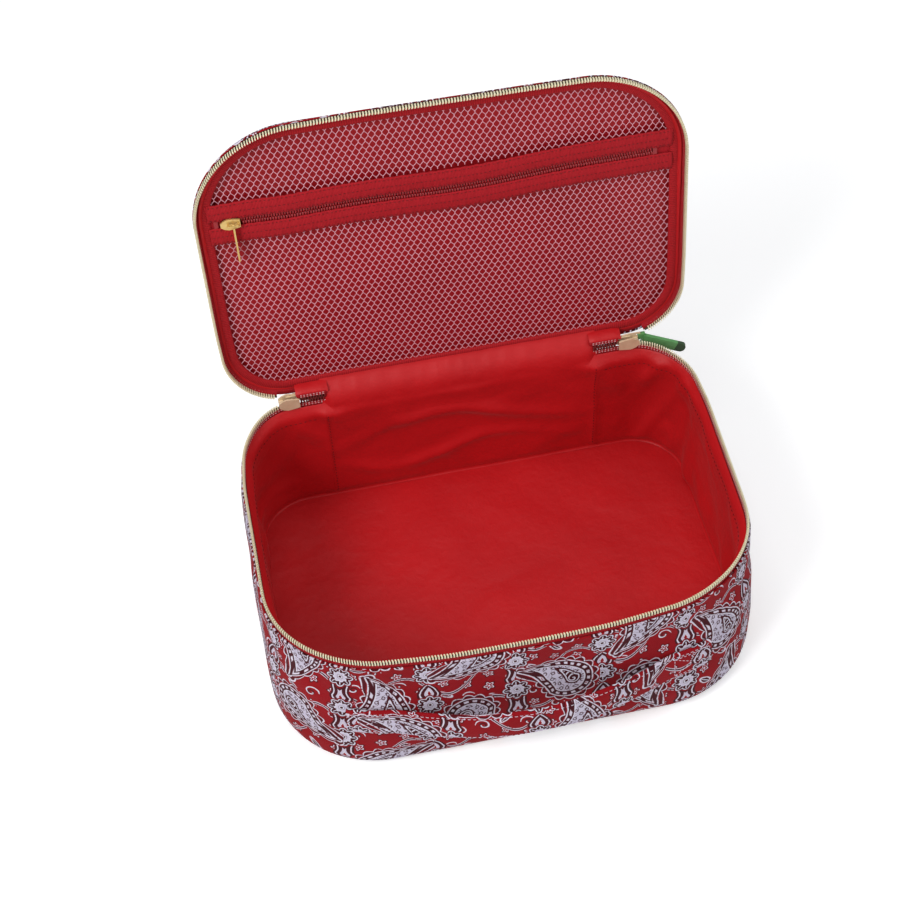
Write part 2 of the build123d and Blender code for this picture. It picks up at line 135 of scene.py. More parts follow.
def samples(low, high, step=3.0):
    """Even steps along the outline, with points at the ends of its arcs."""
    marks = sorted({low, high} | {float(m) for m in STARTS if low < m < high})
    out = []
    for a, b in zip(marks, marks[1:]):
        out += list(np.linspace(a, b, max(2, int(round((b - a) / step)) + 1)))[:-1]
    return np.array(out + [high])


def stack(parts):
    """Points or UVs from their separate coordinates."""
    return np.stack(np.broadcast_arrays(*parts), axis=-1)


def path_runs(path):
    """The length run along a path, at each of its points."""
    return np.concatenate([[0], np.cumsum([math.dist(a, b) for a, b in zip(path, path[1:])])])


# ---- how the soft walls sit
rng = random.Random(11)


def wave_table(count, *ranges):
    """Waves as (along, up, phase, size), each drawn between two values."""
    return [tuple(rng.uniform(low, high) for low, high in ranges) for _ in range(count)]


WAVES = wave_table(9, (0.012, 0.05), (-0.09, 0.09), (0, 6.28), (0.5, 1))
FINE = wave_table(12, (0.05, 0.13), (-0.14, 0.14), (0, 6.28), (0.4, 1))


def waves(table, s, z):
    total = 0
    for a, b, phase, size in table:
        total = total + size * np.sin(a * s + b * z + phase)
    return total / len(table)


def ramp(x, low, high):
    t = np.clip((x - low) / (high - low), 0, 1)
    return t * t * (3 - 2 * t)


def near(s, centre, half):
    """1 at a place along the outline, falling smoothly to 0 at half mm from it."""
    d = np.abs(np.mod(s - centre + LENGTH / 2, LENGTH) - LENGTH / 2)
    return 1 - ramp(d, 0, half)


def ring_run(s):
    """A length along the outline that meets itself all the way round."""
    x, y, nx, ny = outline(s)
    return x - y


def rim_out(s):
    """How far the zip line stands out from the plan, shared by the bag's rim and the lid's edge."""
    out = 1.8 * near(s, FRONT_S, 110) - 5.0 * near(s, 322, 75) - 4.0 * near(s, LENGTH - 322, 75)
    out = out - 2.6 * near(s, 144, 42) - 3.4 * near(s, LENGTH - 144, 42)
    out = out + 0.5 * waves(WAVES, ring_run(s), 0) * ramp(np.abs(np.mod(s + LENGTH / 2, LENGTH) - LENGTH / 2), 90, 150)
    return out


def lid_rim_out(s):
    """The lid's board holds its edge nearer to the plan."""
    return rim_out(s) * 0.3 - 1.6 * near(s, FRONT_S - 40, 130)


def wall_out(s, z):
    """How far the padded wall stands out: a belly between base and rim, dents and slack folds."""
    belly = np.sin(np.clip(z / RIM, 0, 1) * math.pi)
    out = belly * (1.2 + 1.8 * near(s, 210, 90) + 1.8 * near(s, LENGTH - 210, 90) + 1.5 * near(s, FRONT_S, 150))
    out = out - belly * 2.6 * (near(s, 330, 45) + near(s, LENGTH - 330, 45)) * ramp(z, 10, 40)
    foot = (1 - ramp(np.abs(np.mod(s, LENGTH) - FRONT_S), 110, 240)) * (1 - ramp(z, 12, 82))
    out = out + 6.0 * foot
    body = ramp(z, 4, 26) * (1 - ramp(z, 74, 92))
    p = ring_run(s)
    out = out + body * (1.5 * waves(WAVES, p, z) + 1.1 * waves(FINE, p, z))
    crease = np.abs(np.sin(0.06 * p + 0.045 * z + 0.4)) ** 7 * 1.3
    crease = crease + np.abs(np.sin(0.037 * p - 0.05 * z + 1.1)) ** 8 * 1.2
    out = out - body * crease * ramp(np.abs(z - 48), 9, 24)
    keep = ramp(z, 60, 94)
    return out * (1 - ramp(z, 80, 96)) + rim_out(s) * keep


def lid_out(s, h):
    """The same for the lid's side, which only puffs a little between its seams."""
    puff = np.sin(np.clip((h - 3.6) / 9, 0, 1) * math.pi)
    corner = 1.4 * near(s, LENGTH - 322, 80)
    return lid_rim_out(s) * (1 - ramp(h, 6, 14)) + puff * (0.2 + corner + 0.3 * waves(FINE, ring_run(s) * 0.7, h))


# ---- mesh helpers
def to_object(name, verts, faces, uvs=None, smooth=True):
    mesh = bpy.data.meshes.new(name)
    mesh.from_pydata([tuple(v) for v in verts], [], faces)
    if uvs is not None:
        layer = mesh.uv_layers.new(name="cloth")
        index = np.empty(len(mesh.loops), dtype=np.int32)
        mesh.loops.foreach_get("vertex_index", index)
        layer.data.foreach_set("uv", np.asarray(uvs, dtype=np.float32)[index].ravel())
    mesh.polygons.foreach_set("use_smooth", [smooth] * len(mesh.polygons))
    mesh.update()
    obj = bpy.data.objects.new(name, mesh)
    bpy.context.scene.collection.objects.link(obj)
    return obj


def grid(name, points, uvs, material, flip=False, thick=0.0, sub=0):
    """A sheet from rows of points in mm."""
    points, uvs = np.array(points), np.array(uvs)
    rows, cols = points.shape[:2]
    faces = []
    for i in range(rows - 1):
        for j in range(cols - 1):
            a = i * cols + j
            f = (a, a + 1, a + cols + 1, a + cols)
            faces.append(f[::-1] if flip else f)
    obj = to_object(name, points.reshape(-1, 3) / 1000, faces, uvs.reshape(-1, 2) / 1000)
    obj.data.materials.append(material)
    if thick:
        solid = obj.modifiers.new("thick", "SOLIDIFY")
        solid.thickness = thick / 1000
        solid.offset = -1
    if sub:
        more = obj.modifiers.new("smooth", "SUBSURF")
        more.levels = more.render_levels = sub
    return obj


def bag_point(s, inset, z, out):
    x, y, nx, ny = outline(s)
    return stack([x + nx * (out - inset), y + ny * (out - inset), z])


def lid_point(s, inset, h, out):
    x, y, nx, ny = outline(s)
    return lid_world(x + nx * (out - inset), y + ny * (out - inset), h)


def lid_world(x, y, h):
    """A point given in the closed lid's own plan, height above the zip line, at rest in the open lid."""
    wy = HINGE_Y + back_l[1] * (y - HINGE_Y) + up_l[1] * h
    wz = RIM + back_l[2] * (y - HINGE_Y) + up_l[2] * h
    return stack([x, wy, wz])


def done(obj, body, *nodes, slot=None):
    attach(obj, body)
    if nodes:
        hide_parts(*nodes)
    return obj


def many(name, shapes, material):
    """One object of many small shapes: (verts in mm, faces) pairs."""
    verts, faces, base = [], [], 0
    for v, f in shapes:
        verts.append(v)
        faces += [tuple(i + base for i in face) for face in f]
        base += len(v)
    obj = to_object(name, np.concatenate(verts) / 1000, faces)
    obj.data.materials.append(material)
    return obj


def stitch(a, b, normal, width=0.42, lift=0.12):
    """A short thread from a to b that dips into the cloth at both ends."""
    a, b, n = (np.asarray(v, float) for v in (a, b, normal))
    along = b - a
    size = np.linalg.norm(along)
    along = along / size
    side = np.cross(along, n)
    side = side / np.linalg.norm(side)
    verts = [a - n * width * 0.5]
    for t in (0.2, 0.8):
        mid = a + along * size * t + n * lift
        for k in range(6):
            q = math.pi / 3 * k
            verts.append(mid + (side * math.cos(q) + n * math.sin(q) * 0.8) * width / 2 * 0.8)
    verts.append(b - n * width * 0.5)
    faces = [(0, 1 + (k + 1) % 6, 1 + k) for k in range(6)]
    faces += [(1 + k, 1 + (k + 1) % 6, 7 + (k + 1) % 6, 7 + k) for k in range(6)]
    faces += [(13, 7 + k, 7 + (k + 1) % 6) for k in range(6)]
    return np.array(verts), faces


def stitch_line(points, normals, length, pitch, width=0.42, lift=0.12):
    """Stitches along a polyline."""
    points, normals = np.asarray(points, float), np.asarray(normals, float)
    steps = np.linalg.norm(np.diff(points, axis=0), axis=1)
    run = np.concatenate([[0], np.cumsum(steps)])
    count = int((run[-1] - length) / pitch) + 1
    out = []
    for i in range(count):
        ends = []
        for d in (i * pitch, i * pitch + length):
            ends.append([np.interp(d, run, points[:, k]) for k in range(3)])
        mid = i * pitch + length / 2
        n = np.array([np.interp(mid, run, normals[:, k]) for k in range(3)])
        out.append(stitch(ends[0], ends[1], n / np.linalg.norm(n), width, lift))
    return out


# ---- shader helpers
class Num:
    """A number in a node tree, so that patterns can be written as sums."""

    tree = None

    def __init__(self, socket):
        self.socket = socket

    @staticmethod
    def do(operation, *values, clamp=False):
        node = Num.tree.nodes.new("ShaderNodeMath")
        node.operation = operation
        node.use_clamp = clamp
        for i, value in enumerate(values):
            if isinstance(value, Num):
                Num.tree.links.new(value.socket, node.inputs[i])
            else:
                node.inputs[i].default_value = float(value)
        return Num(node.outputs[0])

    def __rsub__(self, other):
        return Num.do("SUBTRACT", other, self)


def operation(name):
    """A function that adds a Math node with that operation."""
    return lambda *values: Num.do(name, *values)


Num.__add__ = Num.__radd__ = operation("ADD")
Num.__sub__ = operation("SUBTRACT")
Num.__mul__ = Num.__rmul__ = operation("MULTIPLY")
Num.__truediv__ = operation("DIVIDE")
Num.__abs__ = operation("ABSOLUTE")
sine, cosine, angle = operation("SINE"), operation("COSINE"), operation("ARCTAN2")
high, floor_of, modulo = operation("MAXIMUM"), operation("FLOOR"), operation("FLOORED_MODULO")


def length_of(x, y):
    return Num.do("SQRT", Num.do("MULTIPLY_ADD", x, x, y * y))


def clip01(a):
    return Num.do("ADD", a, 0.0, clamp=True)


def below(a, edge, soft=0.12):
    """1 where a is less than edge, with a soft step."""
    return Num.do("MULTIPLY_ADD", a, -1 / soft, edge / soft + 0.5, clamp=True)


def line_at(a, middle, half, soft=0.12):
    """1 where a is within half of middle."""
    return below(abs(a - middle), half, soft)


def new_material(name):
    material = bpy.data.materials.new(name)
    material.use_nodes = True
    tree = material.node_tree
    tree.nodes.clear()
    out = tree.nodes.new("ShaderNodeOutputMaterial")
    shader = tree.nodes.new("ShaderNodeBsdfPrincipled")
    tree.links.new(shader.outputs[0], out.inputs[0])
    Num.tree = tree
    return material, tree, shader


def srgb(code):
    values = [int(code[i:i + 2], 16) / 255 for i in (0, 2, 4)]
    return [v / 12.92 if v <= 0.04045 else ((v + 0.055) / 1.055) ** 2.4 for v in values] + [1.0]


def mix(tree, factor, a, b):
    node = tree.nodes.new("ShaderNodeMix")
    node.data_type = "RGBA"
    for socket, value in ((node.inputs[0], factor), (node.inputs[6], a), (node.inputs[7], b)):
        if isinstance(value, Num):
            tree.links.new(value.socket, socket)
        elif isinstance(value, bpy.types.NodeSocket):
            tree.links.new(value, socket)
        else:
            socket.default_value = value
    return node.outputs[2]


def noise(tree, scale, detail, vector, rough=0.55):
    node = tree.nodes.new("ShaderNodeTexNoise")
    for name, value in (("Scale", scale), ("Detail", detail), ("Roughness", rough)):
        node.inputs[name].default_value = value
    tree.links.new(vector, node.inputs["Vector"])
    return Num(node.outputs[0])


def object_space(tree):
    return tree.nodes.new("ShaderNodeTexCoord").outputs["Object"]


def cloth_uv(tree):
    """The cloth's own coordinates in mm."""
    node = tree.nodes.new("ShaderNodeUVMap")
    node.uv_map = "cloth"
    split = tree.nodes.new("ShaderNodeSeparateXYZ")
    tree.links.new(node.outputs[0], split.inputs[0])
    return Num(split.outputs[0]) * 1000, Num(split.outputs[1]) * 1000


def bump(tree, shader, height, distance, strength=1.0):
    node = tree.nodes.new("ShaderNodeBump")
    node.inputs["Strength"].default_value = strength
    node.inputs["Distance"].default_value = distance / 1000
    tree.links.new(height.socket, node.inputs["Height"])
    tree.links.new(node.outputs[0], shader.inputs["Normal"])


def surface(shader, colour, **inputs):
    """Sets a shader's colour and its other inputs, each to a number or a pattern."""
    Num.tree.links.new(colour, shader.inputs["Base Color"])
    for name, value in inputs.items():
        socket = shader.inputs[name.replace("_", " ")]
        if isinstance(value, Num):
            Num.tree.links.new(value.socket, socket)
        else:
            socket.default_value = value


# ---- the bandana print
def print_masks(u, v):
    """White, maroon and pale masks of a traditional bandana paisley."""
    CW, CH = 49.0, 54.0
    col = floor_of(u / CW)
    side = 1 - 2 * modulo(col, 2.0)
    v1 = v + (1 - side) * (CH / 4) + 8.0
    row = floor_of(v1 / CH)
    x = u - (col + 0.5) * CW
    y = (v1 - (row + 0.5) * CH) * side
    x = x * (1 - 2 * modulo(col + row, 2.0))
    turn = (modulo(col * 2 + row, 3.0) - 1) * 0.42 + 0.3
    c, s = cosine(turn), sine(turn)
    a = x * c + y * s
    b = y * c - x * s
    # a drop: a round body with a long tail that hooks over to one side
    b = b + 7.0
    t = clip01(b / 29.0)
    a2 = a + t * t * 17.0 - t * 6.0
    d = length_of(a2, b - t * 29.0) - (14.4 - t * 13.2 + t * (1 - t) * 5.0)
    theta = angle(b - 2.0, a)
    inside = below(d, -5.0)
    ring = line_at(d, -2.6, 2.1, 0.3)
    edge = high(line_at(d, -0.2, 0.42, 0.2), line_at(d, -4.9, 0.4, 0.2))
    beads = line_at(d, -2.5, 0.85, 0.3) * below(sine(theta * 18.0) * -1, 0.0, 0.5)
    # flowers and leaves in the pale middle, round a smaller drop with a curl
    t2 = clip01((b + 2.0) / 17.0)
    d2 = length_of(a2 - 2.6, b + 1.5 - t2 * 15.0) - (4.6 - t2 * 3.8)
    core = below(d2, 0.0) * inside
    core_edge = line_at(d2, -1.3, 0.34, 0.2) * inside
    swirl = angle(b + 1.5, a2 - 2.6) + length_of(a2 - 2.6, b + 1.5) * 2.2
    turns = line_at(sine(swirl), 1.0, 0.5, 0.3) * below(d2, -2.0)
    pale = inside * (1 - core)
    bloom = sine(a * 1.05 + sine(b * 0.9) * 0.6) * sine(b * 1.0 + sine(a * 0.8 + 1.0) * 0.5)
    florals = below(abs(bloom - 0.5), 0.24, 0.25)
    stems = line_at(sine(a * 0.7 - b * 0.85 + sine(b * 0.8) * 1.4), 0.0, 0.13, 0.12)
    scallop = abs(sine(theta * 8.0))
    fringe = line_at(d - scallop * 2.3, 1.0, 0.4, 0.2) * below(abs(d - 1.9), 1.9)
    fringe_fill = below(abs(d - scallop * 1.1 - 0.8), 0.9, 0.3)
    white = high(high(edge, beads), high(fringe, core_edge))
    white = high(white, turns)
    maroon = high(high(ring * (1 - beads), pale * high(florals, stems)), high(core, fringe_fill * 0.85))
    free = 1 - below(d, 4.2)

    # rosettes with pointed petals in the lanes between the drops
    half = CH / 2
    x3 = u - floor_of(u / CW + 0.5) * CW
    y3 = v - (floor_of(v / half) + 0.5) * half
    r = length_of(x3, y3)
    q = angle(y3, x3)
    petal = 5.6 + 2.0 * abs(cosine(q * 4.0))
    inner = 3.2 + 0.9 * abs(cosine(q * 4.0 + 0.78))
    rose = high(line_at(r - petal, 0.0, 0.42, 0.2), line_at(r - inner, 0.0, 0.36, 0.2))
    rose = high(rose, line_at(r, 1.3, 0.4, 0.2))
    rose = high(rose, line_at(sine(q * 4.0), 0.0, 0.2, 0.14) * line_at(r, 5.2, 1.2))
    white = high(white, rose * free)
    maroon = high(maroon, below(r - petal, 0.9) * free)
    pale = high(pale, below(r - inner, 0.0) * (1 - below(r, 1.9)) * free)
    maroon = maroon * (1 - below(r - inner, 0.0) * (1 - below(r, 1.9)) * free)
    free = free * (1 - below(r - petal, 1.6))

    # small drops between the rosettes
    y6 = v - floor_of(v / half + 0.5) * half
    x6 = x3 * side
    b6 = y6 + 3.5
    t6 = clip01(b6 / 11.0)
    d6 = length_of(x6 + t6 * t6 * 6.0 - t6 * 2.0, b6 - t6 * 11.0) - (5.2 - t6 * 4.5)
    white = high(white, high(line_at(d6, 0.0, 0.4, 0.2), line_at(d6, -3.9, 0.3, 0.2)) * free)
    pale = high(pale, below(d6, -2.4) * (1 - below(d6, -3.6)) * free)
    maroon = high(maroon, (line_at(d6, -1.3, 1.0, 0.3) + line_at(d6, 1.0, 0.6, 0.3)) * free)
    free = free * (1 - below(d6, 1.9))

    # vines: a waving stem with a dark line in it
    bend = v - sine(u * 0.128) * 9.0 - 3.0
    stem = abs(bend - floor_of(bend / half + 0.5) * half)
    white = high(white, line_at(stem, 0.9, 0.3, 0.2) * free)
    maroon = high(maroon, below(stem, 0.7, 0.3) * free)
    free = free * (1 - below(stem, 1.8))

    # small star flowers, leaf sprigs and curls on a finer net
    SW, SH = 12.5, 10.5
    col4 = floor_of(u / SW)
    v4 = v + modulo(col4, 2.0) * (SH / 2) + 4.0
    row4 = floor_of(v4 / SH)
    x4 = u - (col4 + 0.5) * SW
    y4 = v4 - (row4 + 0.5) * SH
    r4 = length_of(x4, y4)
    q4 = angle(y4, x4)
    kind = modulo(col4 * 3 + row4 * 5, 7.0)
    bloom = 2.0 + 0.7 * cosine(q4 * 5.0)
    flower = high(line_at(r4 - bloom, 0.0, 0.34, 0.2), below(r4, 0.6, 0.3))
    lean = (x4 + y4) * 0.7
    wide = (y4 - x4) * 0.7
    leaf_edge = length_of(lean * 0.4, wide) - 1.8
    leaf = high(line_at(leaf_edge, 0.0, 0.34, 0.2), line_at(wide, 0.0, 0.24) * below(abs(lean), 3.4))
    curl = line_at(r4 - modulo(q4 + 3.1416, 6.2832) * 0.6, 0.9, 0.4, 0.2) * below(r4, 4.6)
    is_leaf = line_at(kind, 2.0, 0.5)
    is_curl = below(kind * -1, -4.5)
    small = flower * (1 - is_leaf) * (1 - is_curl) + leaf * is_leaf + curl * is_curl
    white = high(white, small * free)
    shade = below(leaf_edge, -0.4) * is_leaf + line_at(r4 - bloom, 0.9, 0.4, 0.2) * (1 - is_leaf) * (1 - is_curl) * 0.8
    maroon = high(maroon, (shade + line_at(r4, 1.5, 0.6) * is_curl * 0.8) * free)
    return white, maroon, pale


def weave(u, v, pitch):
    k = 2 * math.pi / pitch
    return sine(u * k) * sine(v * k) * 0.5 + sine((u + v) * k * 0.5) * 0.2


def print_cloth():
    material, tree, shader = new_material("printed_cloth")
    u, v = cloth_uv(tree)
    space = object_space(tree)
    wobble = noise(tree, 90.0, 2.0, space) - 0.5
    white, maroon, pale = print_masks(u + wobble * 2.2, v - wobble * 2.0)
    worn = noise(tree, 700.0, 2.0, space)
    white = white * below(worn * -1, -0.36, 0.12)
    ground = mix(tree, noise(tree, 26.0, 2.0, space), srgb("7E050E"), srgb("9C0D1A"))
    colour = mix(tree, pale, ground, srgb("C8C0D2"))
    colour = mix(tree, maroon, colour, srgb("420C16"))
    colour = mix(tree, white, colour, srgb("D8D2E0"))
    surface(shader, colour, Roughness=0.85, Specular_IOR_Level=0.15, Sheen_Weight=0.02, Sheen_Roughness=0.5)
    bump(tree, shader, weave(u, v, 0.85) + worn * 0.5 + white * 0.25, 0.12, 0.8)
    return material


def satin(name, dark, light, creases=1.0):
    material, tree, shader = new_material(name)
    space = object_space(tree)
    soft = noise(tree, 14.0, 2.0, space)
    grain = noise(tree, 1600.0, 1.0, space)
    crush = noise(tree, 60.0, 4.0, space, 0.6)
    fold = noise(tree, 22.0, 3.0, space, 0.5)
    surface(shader, mix(tree, soft, srgb(dark), srgb(light)), Roughness=0.42 + grain * 0.2,
            Specular_IOR_Level=0.32, Sheen_Weight=0.04, Sheen_Roughness=0.35)
    bump(tree, shader, crush * creases + fold * 2.2 * creases + grain * 0.05, 1.6, 0.55)
    return material


def ribbed(name, dark, light, pitch):
    """Woven tape with fine ribs, coloured lighter on their ridges and darker in their grooves as painted light."""
    material, tree, shader = new_material(name)
    u, _ = cloth_uv(tree)
    grain = noise(tree, 900.0, 2.0, object_space(tree))
    ribs = sine(u * (2 * math.pi / pitch))
    # the colour follows the ribs: painted highlight on each ridge and painted shade in the grooves, over a random grain
    colour = mix(tree, clip01(0.5 + ribs * 0.3 + (grain - 0.5) * 0.6), srgb(dark), srgb(light))
    surface(shader, colour, Roughness=0.72, Specular_IOR_Level=0.2, Sheen_Weight=0.02)
    bump(tree, shader, ribs * 0.5 + grain * 0.5, 0.22, 0.8)
    return material


def grained(name, dark, light, scale, detail, depth, strength, **inputs):
    """One colour, clouded and roughened by the same noise."""
    material, tree, shader = new_material(name)
    grain = noise(tree, scale, detail, object_space(tree))
    surface(shader, mix(tree, grain, srgb(dark), srgb(light)), **inputs)
    bump(tree, shader, grain, depth, strength)
    return material


def fibre(name, dark, light, roughness=0.6):
    """Thread, net yarn and other small soft things."""
    return grained(name, dark, light, 1400.0, 2.0, 0.08, 0.7, Roughness=roughness, Specular_IOR_Level=0.35)


def moulded(name, dark, light, roughness):
    return grained(name, dark, light, 320.0, 3.0, 0.05, 0.4, Roughness=roughness)


def metal(name, dark, light, roughness, metallic=0.6):
    material, tree, shader = new_material(name)
    space = object_space(tree)
    cloudy = noise(tree, 220.0, 3.0, space)
    scratch = noise(tree, 1500.0, 2.0, space)
    surface(shader, mix(tree, cloudy, srgb(dark), srgb(light)), Metallic=metallic,
            Roughness=roughness - 0.06 + scratch * 0.14)
    bump(tree, shader, scratch, 0.04, 0.4)
    return material


CLOTH = print_cloth()
LINING = satin("satin_lining", "A80C12", "C8161C")
LID_LINING = satin("lid_lining", "8A0810", "B0121C", 0.5)
TAPE = ribbed("zip_tape", "8C0C14", "B01A22", 0.9)
BINDING = ribbed("binding_tape", "8E0C14", "B81A22", 1.3)
POCKET_TAPE = ribbed("pocket_tape", "98101A", "BC1C26", 0.8)
THREAD = fibre("pale_thread", "C8B8CC", "ECE2EE")
PINK_THREAD = fibre("pink_thread", "D08A90", "F0C4C4")
RED_THREAD = fibre("red_thread", "4E060A", "740C12")
NET = fibre("net_yarn", "D08898", "ECB6C2", 0.5)
TOOTH = moulded("zip_tooth", "D6CBA2", "F2EACC", 0.35)
# the teeth's cord is real, but its near-black colour is painted shade for the gaps between the teeth
CORD_GAP_SHADE = moulded("zip_cord_painted_gap_shade", "2E2812", "4A4020", 0.7)
DARK_TOOTH = moulded("chain_tooth", "561012", "842622", 0.8)
SLIDER = metal("slider_plate", "D2B68E", "EFDDBC", 0.5, 0.25)
GOLD = metal("gold", "C8A050", "ECD08C", 0.34)
COIL = moulded("coil", "7C0A12", "A8141C", 0.4)
GREEN = moulded("green_strap", "4E8A4C", "6CA868", 0.5)
DARK_GREEN = moulded("green_end", "243E24", "34502F", 0.5)

# ---- the bag's outer cloth
S0, S1 = SEAM_X, LENGTH - SEAM_X


def wall_profile(top):
    """(inset, z) from under the base, round its edge and up to the hem."""
    turns = [math.pi / 2 * k / 7 for k in range(8)]
    edge = [(BASE_R - BASE_R * math.sin(q), BASE_R - BASE_R * math.cos(q)) for q in turns]
    return [(16, 0.02), (12.5, 0.02)] + edge + [(0, z) for z in np.linspace(13, top, 24)]


def cloth_wall(name, low_s, high_s, profile, out):
    s = samples(low_s, high_s)
    rows = [bag_point(s, inset, z, out(s, z)) for inset, z in profile]
    return grid(name, rows, [stack([s, v]) for v in path_runs(profile)], CLOTH)


def gathered(out):
    """Keeps the turned-under edge flat on the base."""
    return lambda s, z: out(s, z) * ramp(z, 0.0, 5.5)


hem = [(-0.1, 91.2), (-0.25, 91.8), (0.0, 92.2), (0.5, 92.4), (1.0, 92.1), (1.15, 91.4)]
side = cloth_wall("outer_side", S0, S1, wall_profile(90.4) + hem, gathered(wall_out))
done(side, "bag", "side_panel", "side_padding", slot="printed_fabric")
back = cloth_wall("outer_back", -S0, S0, wall_profile(92.0), gathered(lambda s, z: wall_out(s, z) * 0.6))
done(back, "bag", "back_panel", "back_padding", slot="printed_fabric")

# seams at the back where the two meet, as a fine raised cord of cloth
for name, sign in (("back_seam_right", 1), ("back_seam_left", -1)):
    z = np.linspace(6, 92, 30)
    turns = [math.pi * k / 6 for k in range(7)]
    rows = [stack([sign * SEAM_X + 0.9 * math.cos(q), HINGE_Y + 0.1 + 0.8 * math.sin(q), z]) for q in turns]
    uvs = [stack([k * 0.5, z]) for k in range(7)]
    done(grid(name, rows, uvs, CLOTH, flip=sign < 0), "bag", slot="printed_fabric")

# base cloth: rings of the plan drawn in to the middle
s_ring = samples(0, LENGTH, 6.0)
rows = [bag_point(s_ring, inset, 0.0, 0.0) for inset in (13.0, 20.0, 32.0)]
rows += [rows[-1] * np.array([shrink, shrink, 1]) for shrink in (0.6, 0.3, 0.0004)]
base = grid("base_cloth", rows, np.array(rows)[..., :2] + 500.0, CLOTH)
done(base, "bag", "base_panel", slot="printed_fabric")

# ---- lining of the bag
def creases(s, z):
    """How far the slack lining stands in from the padding."""
    lie = ramp(z, 3, 11) * (1 - ramp(z, 86, 92))
    p = ring_run(s)
    drape = 1.8 + 2.4 * waves(WAVES, p * 1.5 + 20, z * 1.3) + 2.2 * waves(FINE, p * 1.1, z * 0.8 + 9)
    back_wall = near(s, 0, 110)
    swag = np.exp(-((z - 58 - 13 * np.cos(p * 0.034 + 3.8)) / 6.0) ** 2) * 3.4 * back_wall
    swag = swag + np.exp(-((z - 32 - 8 * np.cos(p * 0.05 + 3.9)) / 5.0) ** 2) * 2.4 * back_wall
    ridge = (near(s, SEAM_X - 1.5, 4) + near(s, LENGTH - SEAM_X + 1.5, 4)) * 1.1
    seam = near(s, SEAM_X + 3, 26) + near(s, LENGTH - SEAM_X - 3, 26)
    pull = np.abs(np.sin(0.10 * p + 0.075 * z)) ** 3 * 2.2 * seam * ramp(z, 20, 70)
    side = near(s, 168, 13) * 2.6 + near(s, LENGTH - 172, 15) * 2.8
    side = side + near(s, 245, 12) * 1.6 + near(s, LENGTH - 240, 12) * 1.8
    side = side * (0.55 + 0.45 * np.sin(z * 0.05 + 0.4))
    fan = np.abs(np.sin(0.085 * p - 0.06 * z + 0.6)) ** 5 * 2.2 * (near(s, 135, 45) + near(s, LENGTH - 135, 45))
    return (np.clip(drape, 0, 6) + swag + pull + side + fan + ridge) * lie


def lining_point(s, z):
    """A point on the lining's slack face."""
    inset = np.interp(z, [4.0, 5.2, 7.0, 88, 90.2, 91.8, 92.4], [6.4, 5.0, 4.6, 4.6, 4.2, 3.4, 2.7])
    return bag_point(s, inset + creases(s, z), z, wall_out(s, z) * 0.75)


def lining_wall(name, low_s, high_s, *nodes):
    s = samples(low_s, high_s, 2.5)
    heights = [4.2, 4.6, 5.2, 6.0, 7.4, 9.5, 12.0, *np.linspace(14, 88, 38), 89.2, 90.2, 91.2, 91.8, 92.4]
    rows, uvs = [lining_point(s, z) for z in heights], [stack([s, z]) for z in heights]
    return done(grid(name, rows, uvs, LINING, flip=True), "bag", *nodes, slot="satin_lining")


lining_side = lining_wall("lining_side", S0 - 1.5, S1 + 1.5, "side_lining")
lining_back = lining_wall("lining_back", -S0 + 1.0, S0 - 1.0, "back_lining")

# floor lining, slightly uneven over its board
rows, uvs = [], []
s_ring = samples(0, LENGTH, 4.0)
edge = bag_point(s_ring, 5.2, 4.1, wall_out(s_ring, 4.2) * 0.75)
for shrink in np.concatenate([np.linspace(1.0, 0.1, 26), [0.0004]]):
    p = edge * np.array([shrink, shrink, 1])
    p[..., 2] += (0.9 * waves(FINE, p[..., 0] * 0.9, p[..., 1] * 0.9) + 0.6 * waves(WAVES, p[..., 0], p[..., 1])) * 0.9
    p[..., 2] = np.maximum(p[..., 2], 3.6)
    rows.append(p)
    uvs.append(p[..., :2] + 400.0)
floor_cloth = grid("lining_floor", rows, uvs, LINING)
done(floor_cloth, "bag", "base_lining", "base_board", slot="satin_lining")

# ---- zip tapes and teeth
def edge_out(point):
    return lid_rim_out if point is lid_point else rim_out


def tape_band(name, point, low_s, high_s, low_z, high_z, body, *nodes, lean=0.0):
    """Woven tape, two faces and its top edge."""
    s = samples(low_s, high_s)
    path = [(1.2, low_z), (1.2, (low_z + high_z) / 2), (1.2, high_z - 0.2), (1.4, high_z), (1.8, high_z),
            (2.0, high_z - 0.2), (2.0, (low_z + high_z) / 2), (2.0, low_z)]
    rows = [point(s, inset + lean * max(0, z - 3.2), z, edge_out(point)(s)) for inset, z in path]
    obj = grid(name, rows, [stack([s, run]) for run in path_runs(path)], TAPE, flip=point is lid_point)
    return done(obj, body, *nodes, slot="zip_tape")


tape_band("rim_tape", bag_point, 80.0, LENGTH - 80.0, 86.5, 95.6, "bag", "lower_zip_tape")


def tooth(centre, along, out, rise, length, thick, tall, slant):
    """A moulded tooth with a rounded head, leaning along the chain."""
    profile = [(-0.5, 0), (-0.5, 0.62), (-0.36, 0.9), (-0.15, 1.0), (0.15, 1.0), (0.36, 0.9), (0.5, 0.62), (0.5, 0)]
    verts = []
    for side in (-0.5, 0.5):
        for t, h in profile:
            lean = slant * (t * thick)
            taper = 1.0 - 0.18 * h
            verts.append(centre + along * (side * length * taper + lean) + out * t * thick + rise * h * tall)
    faces = [tuple(range(7, -1, -1)), tuple(range(8, 16))]
    faces += [(k, (k + 1) % 8, 8 + (k + 1) % 8, 8 + k) for k in range(8)]
    return np.array(verts), faces


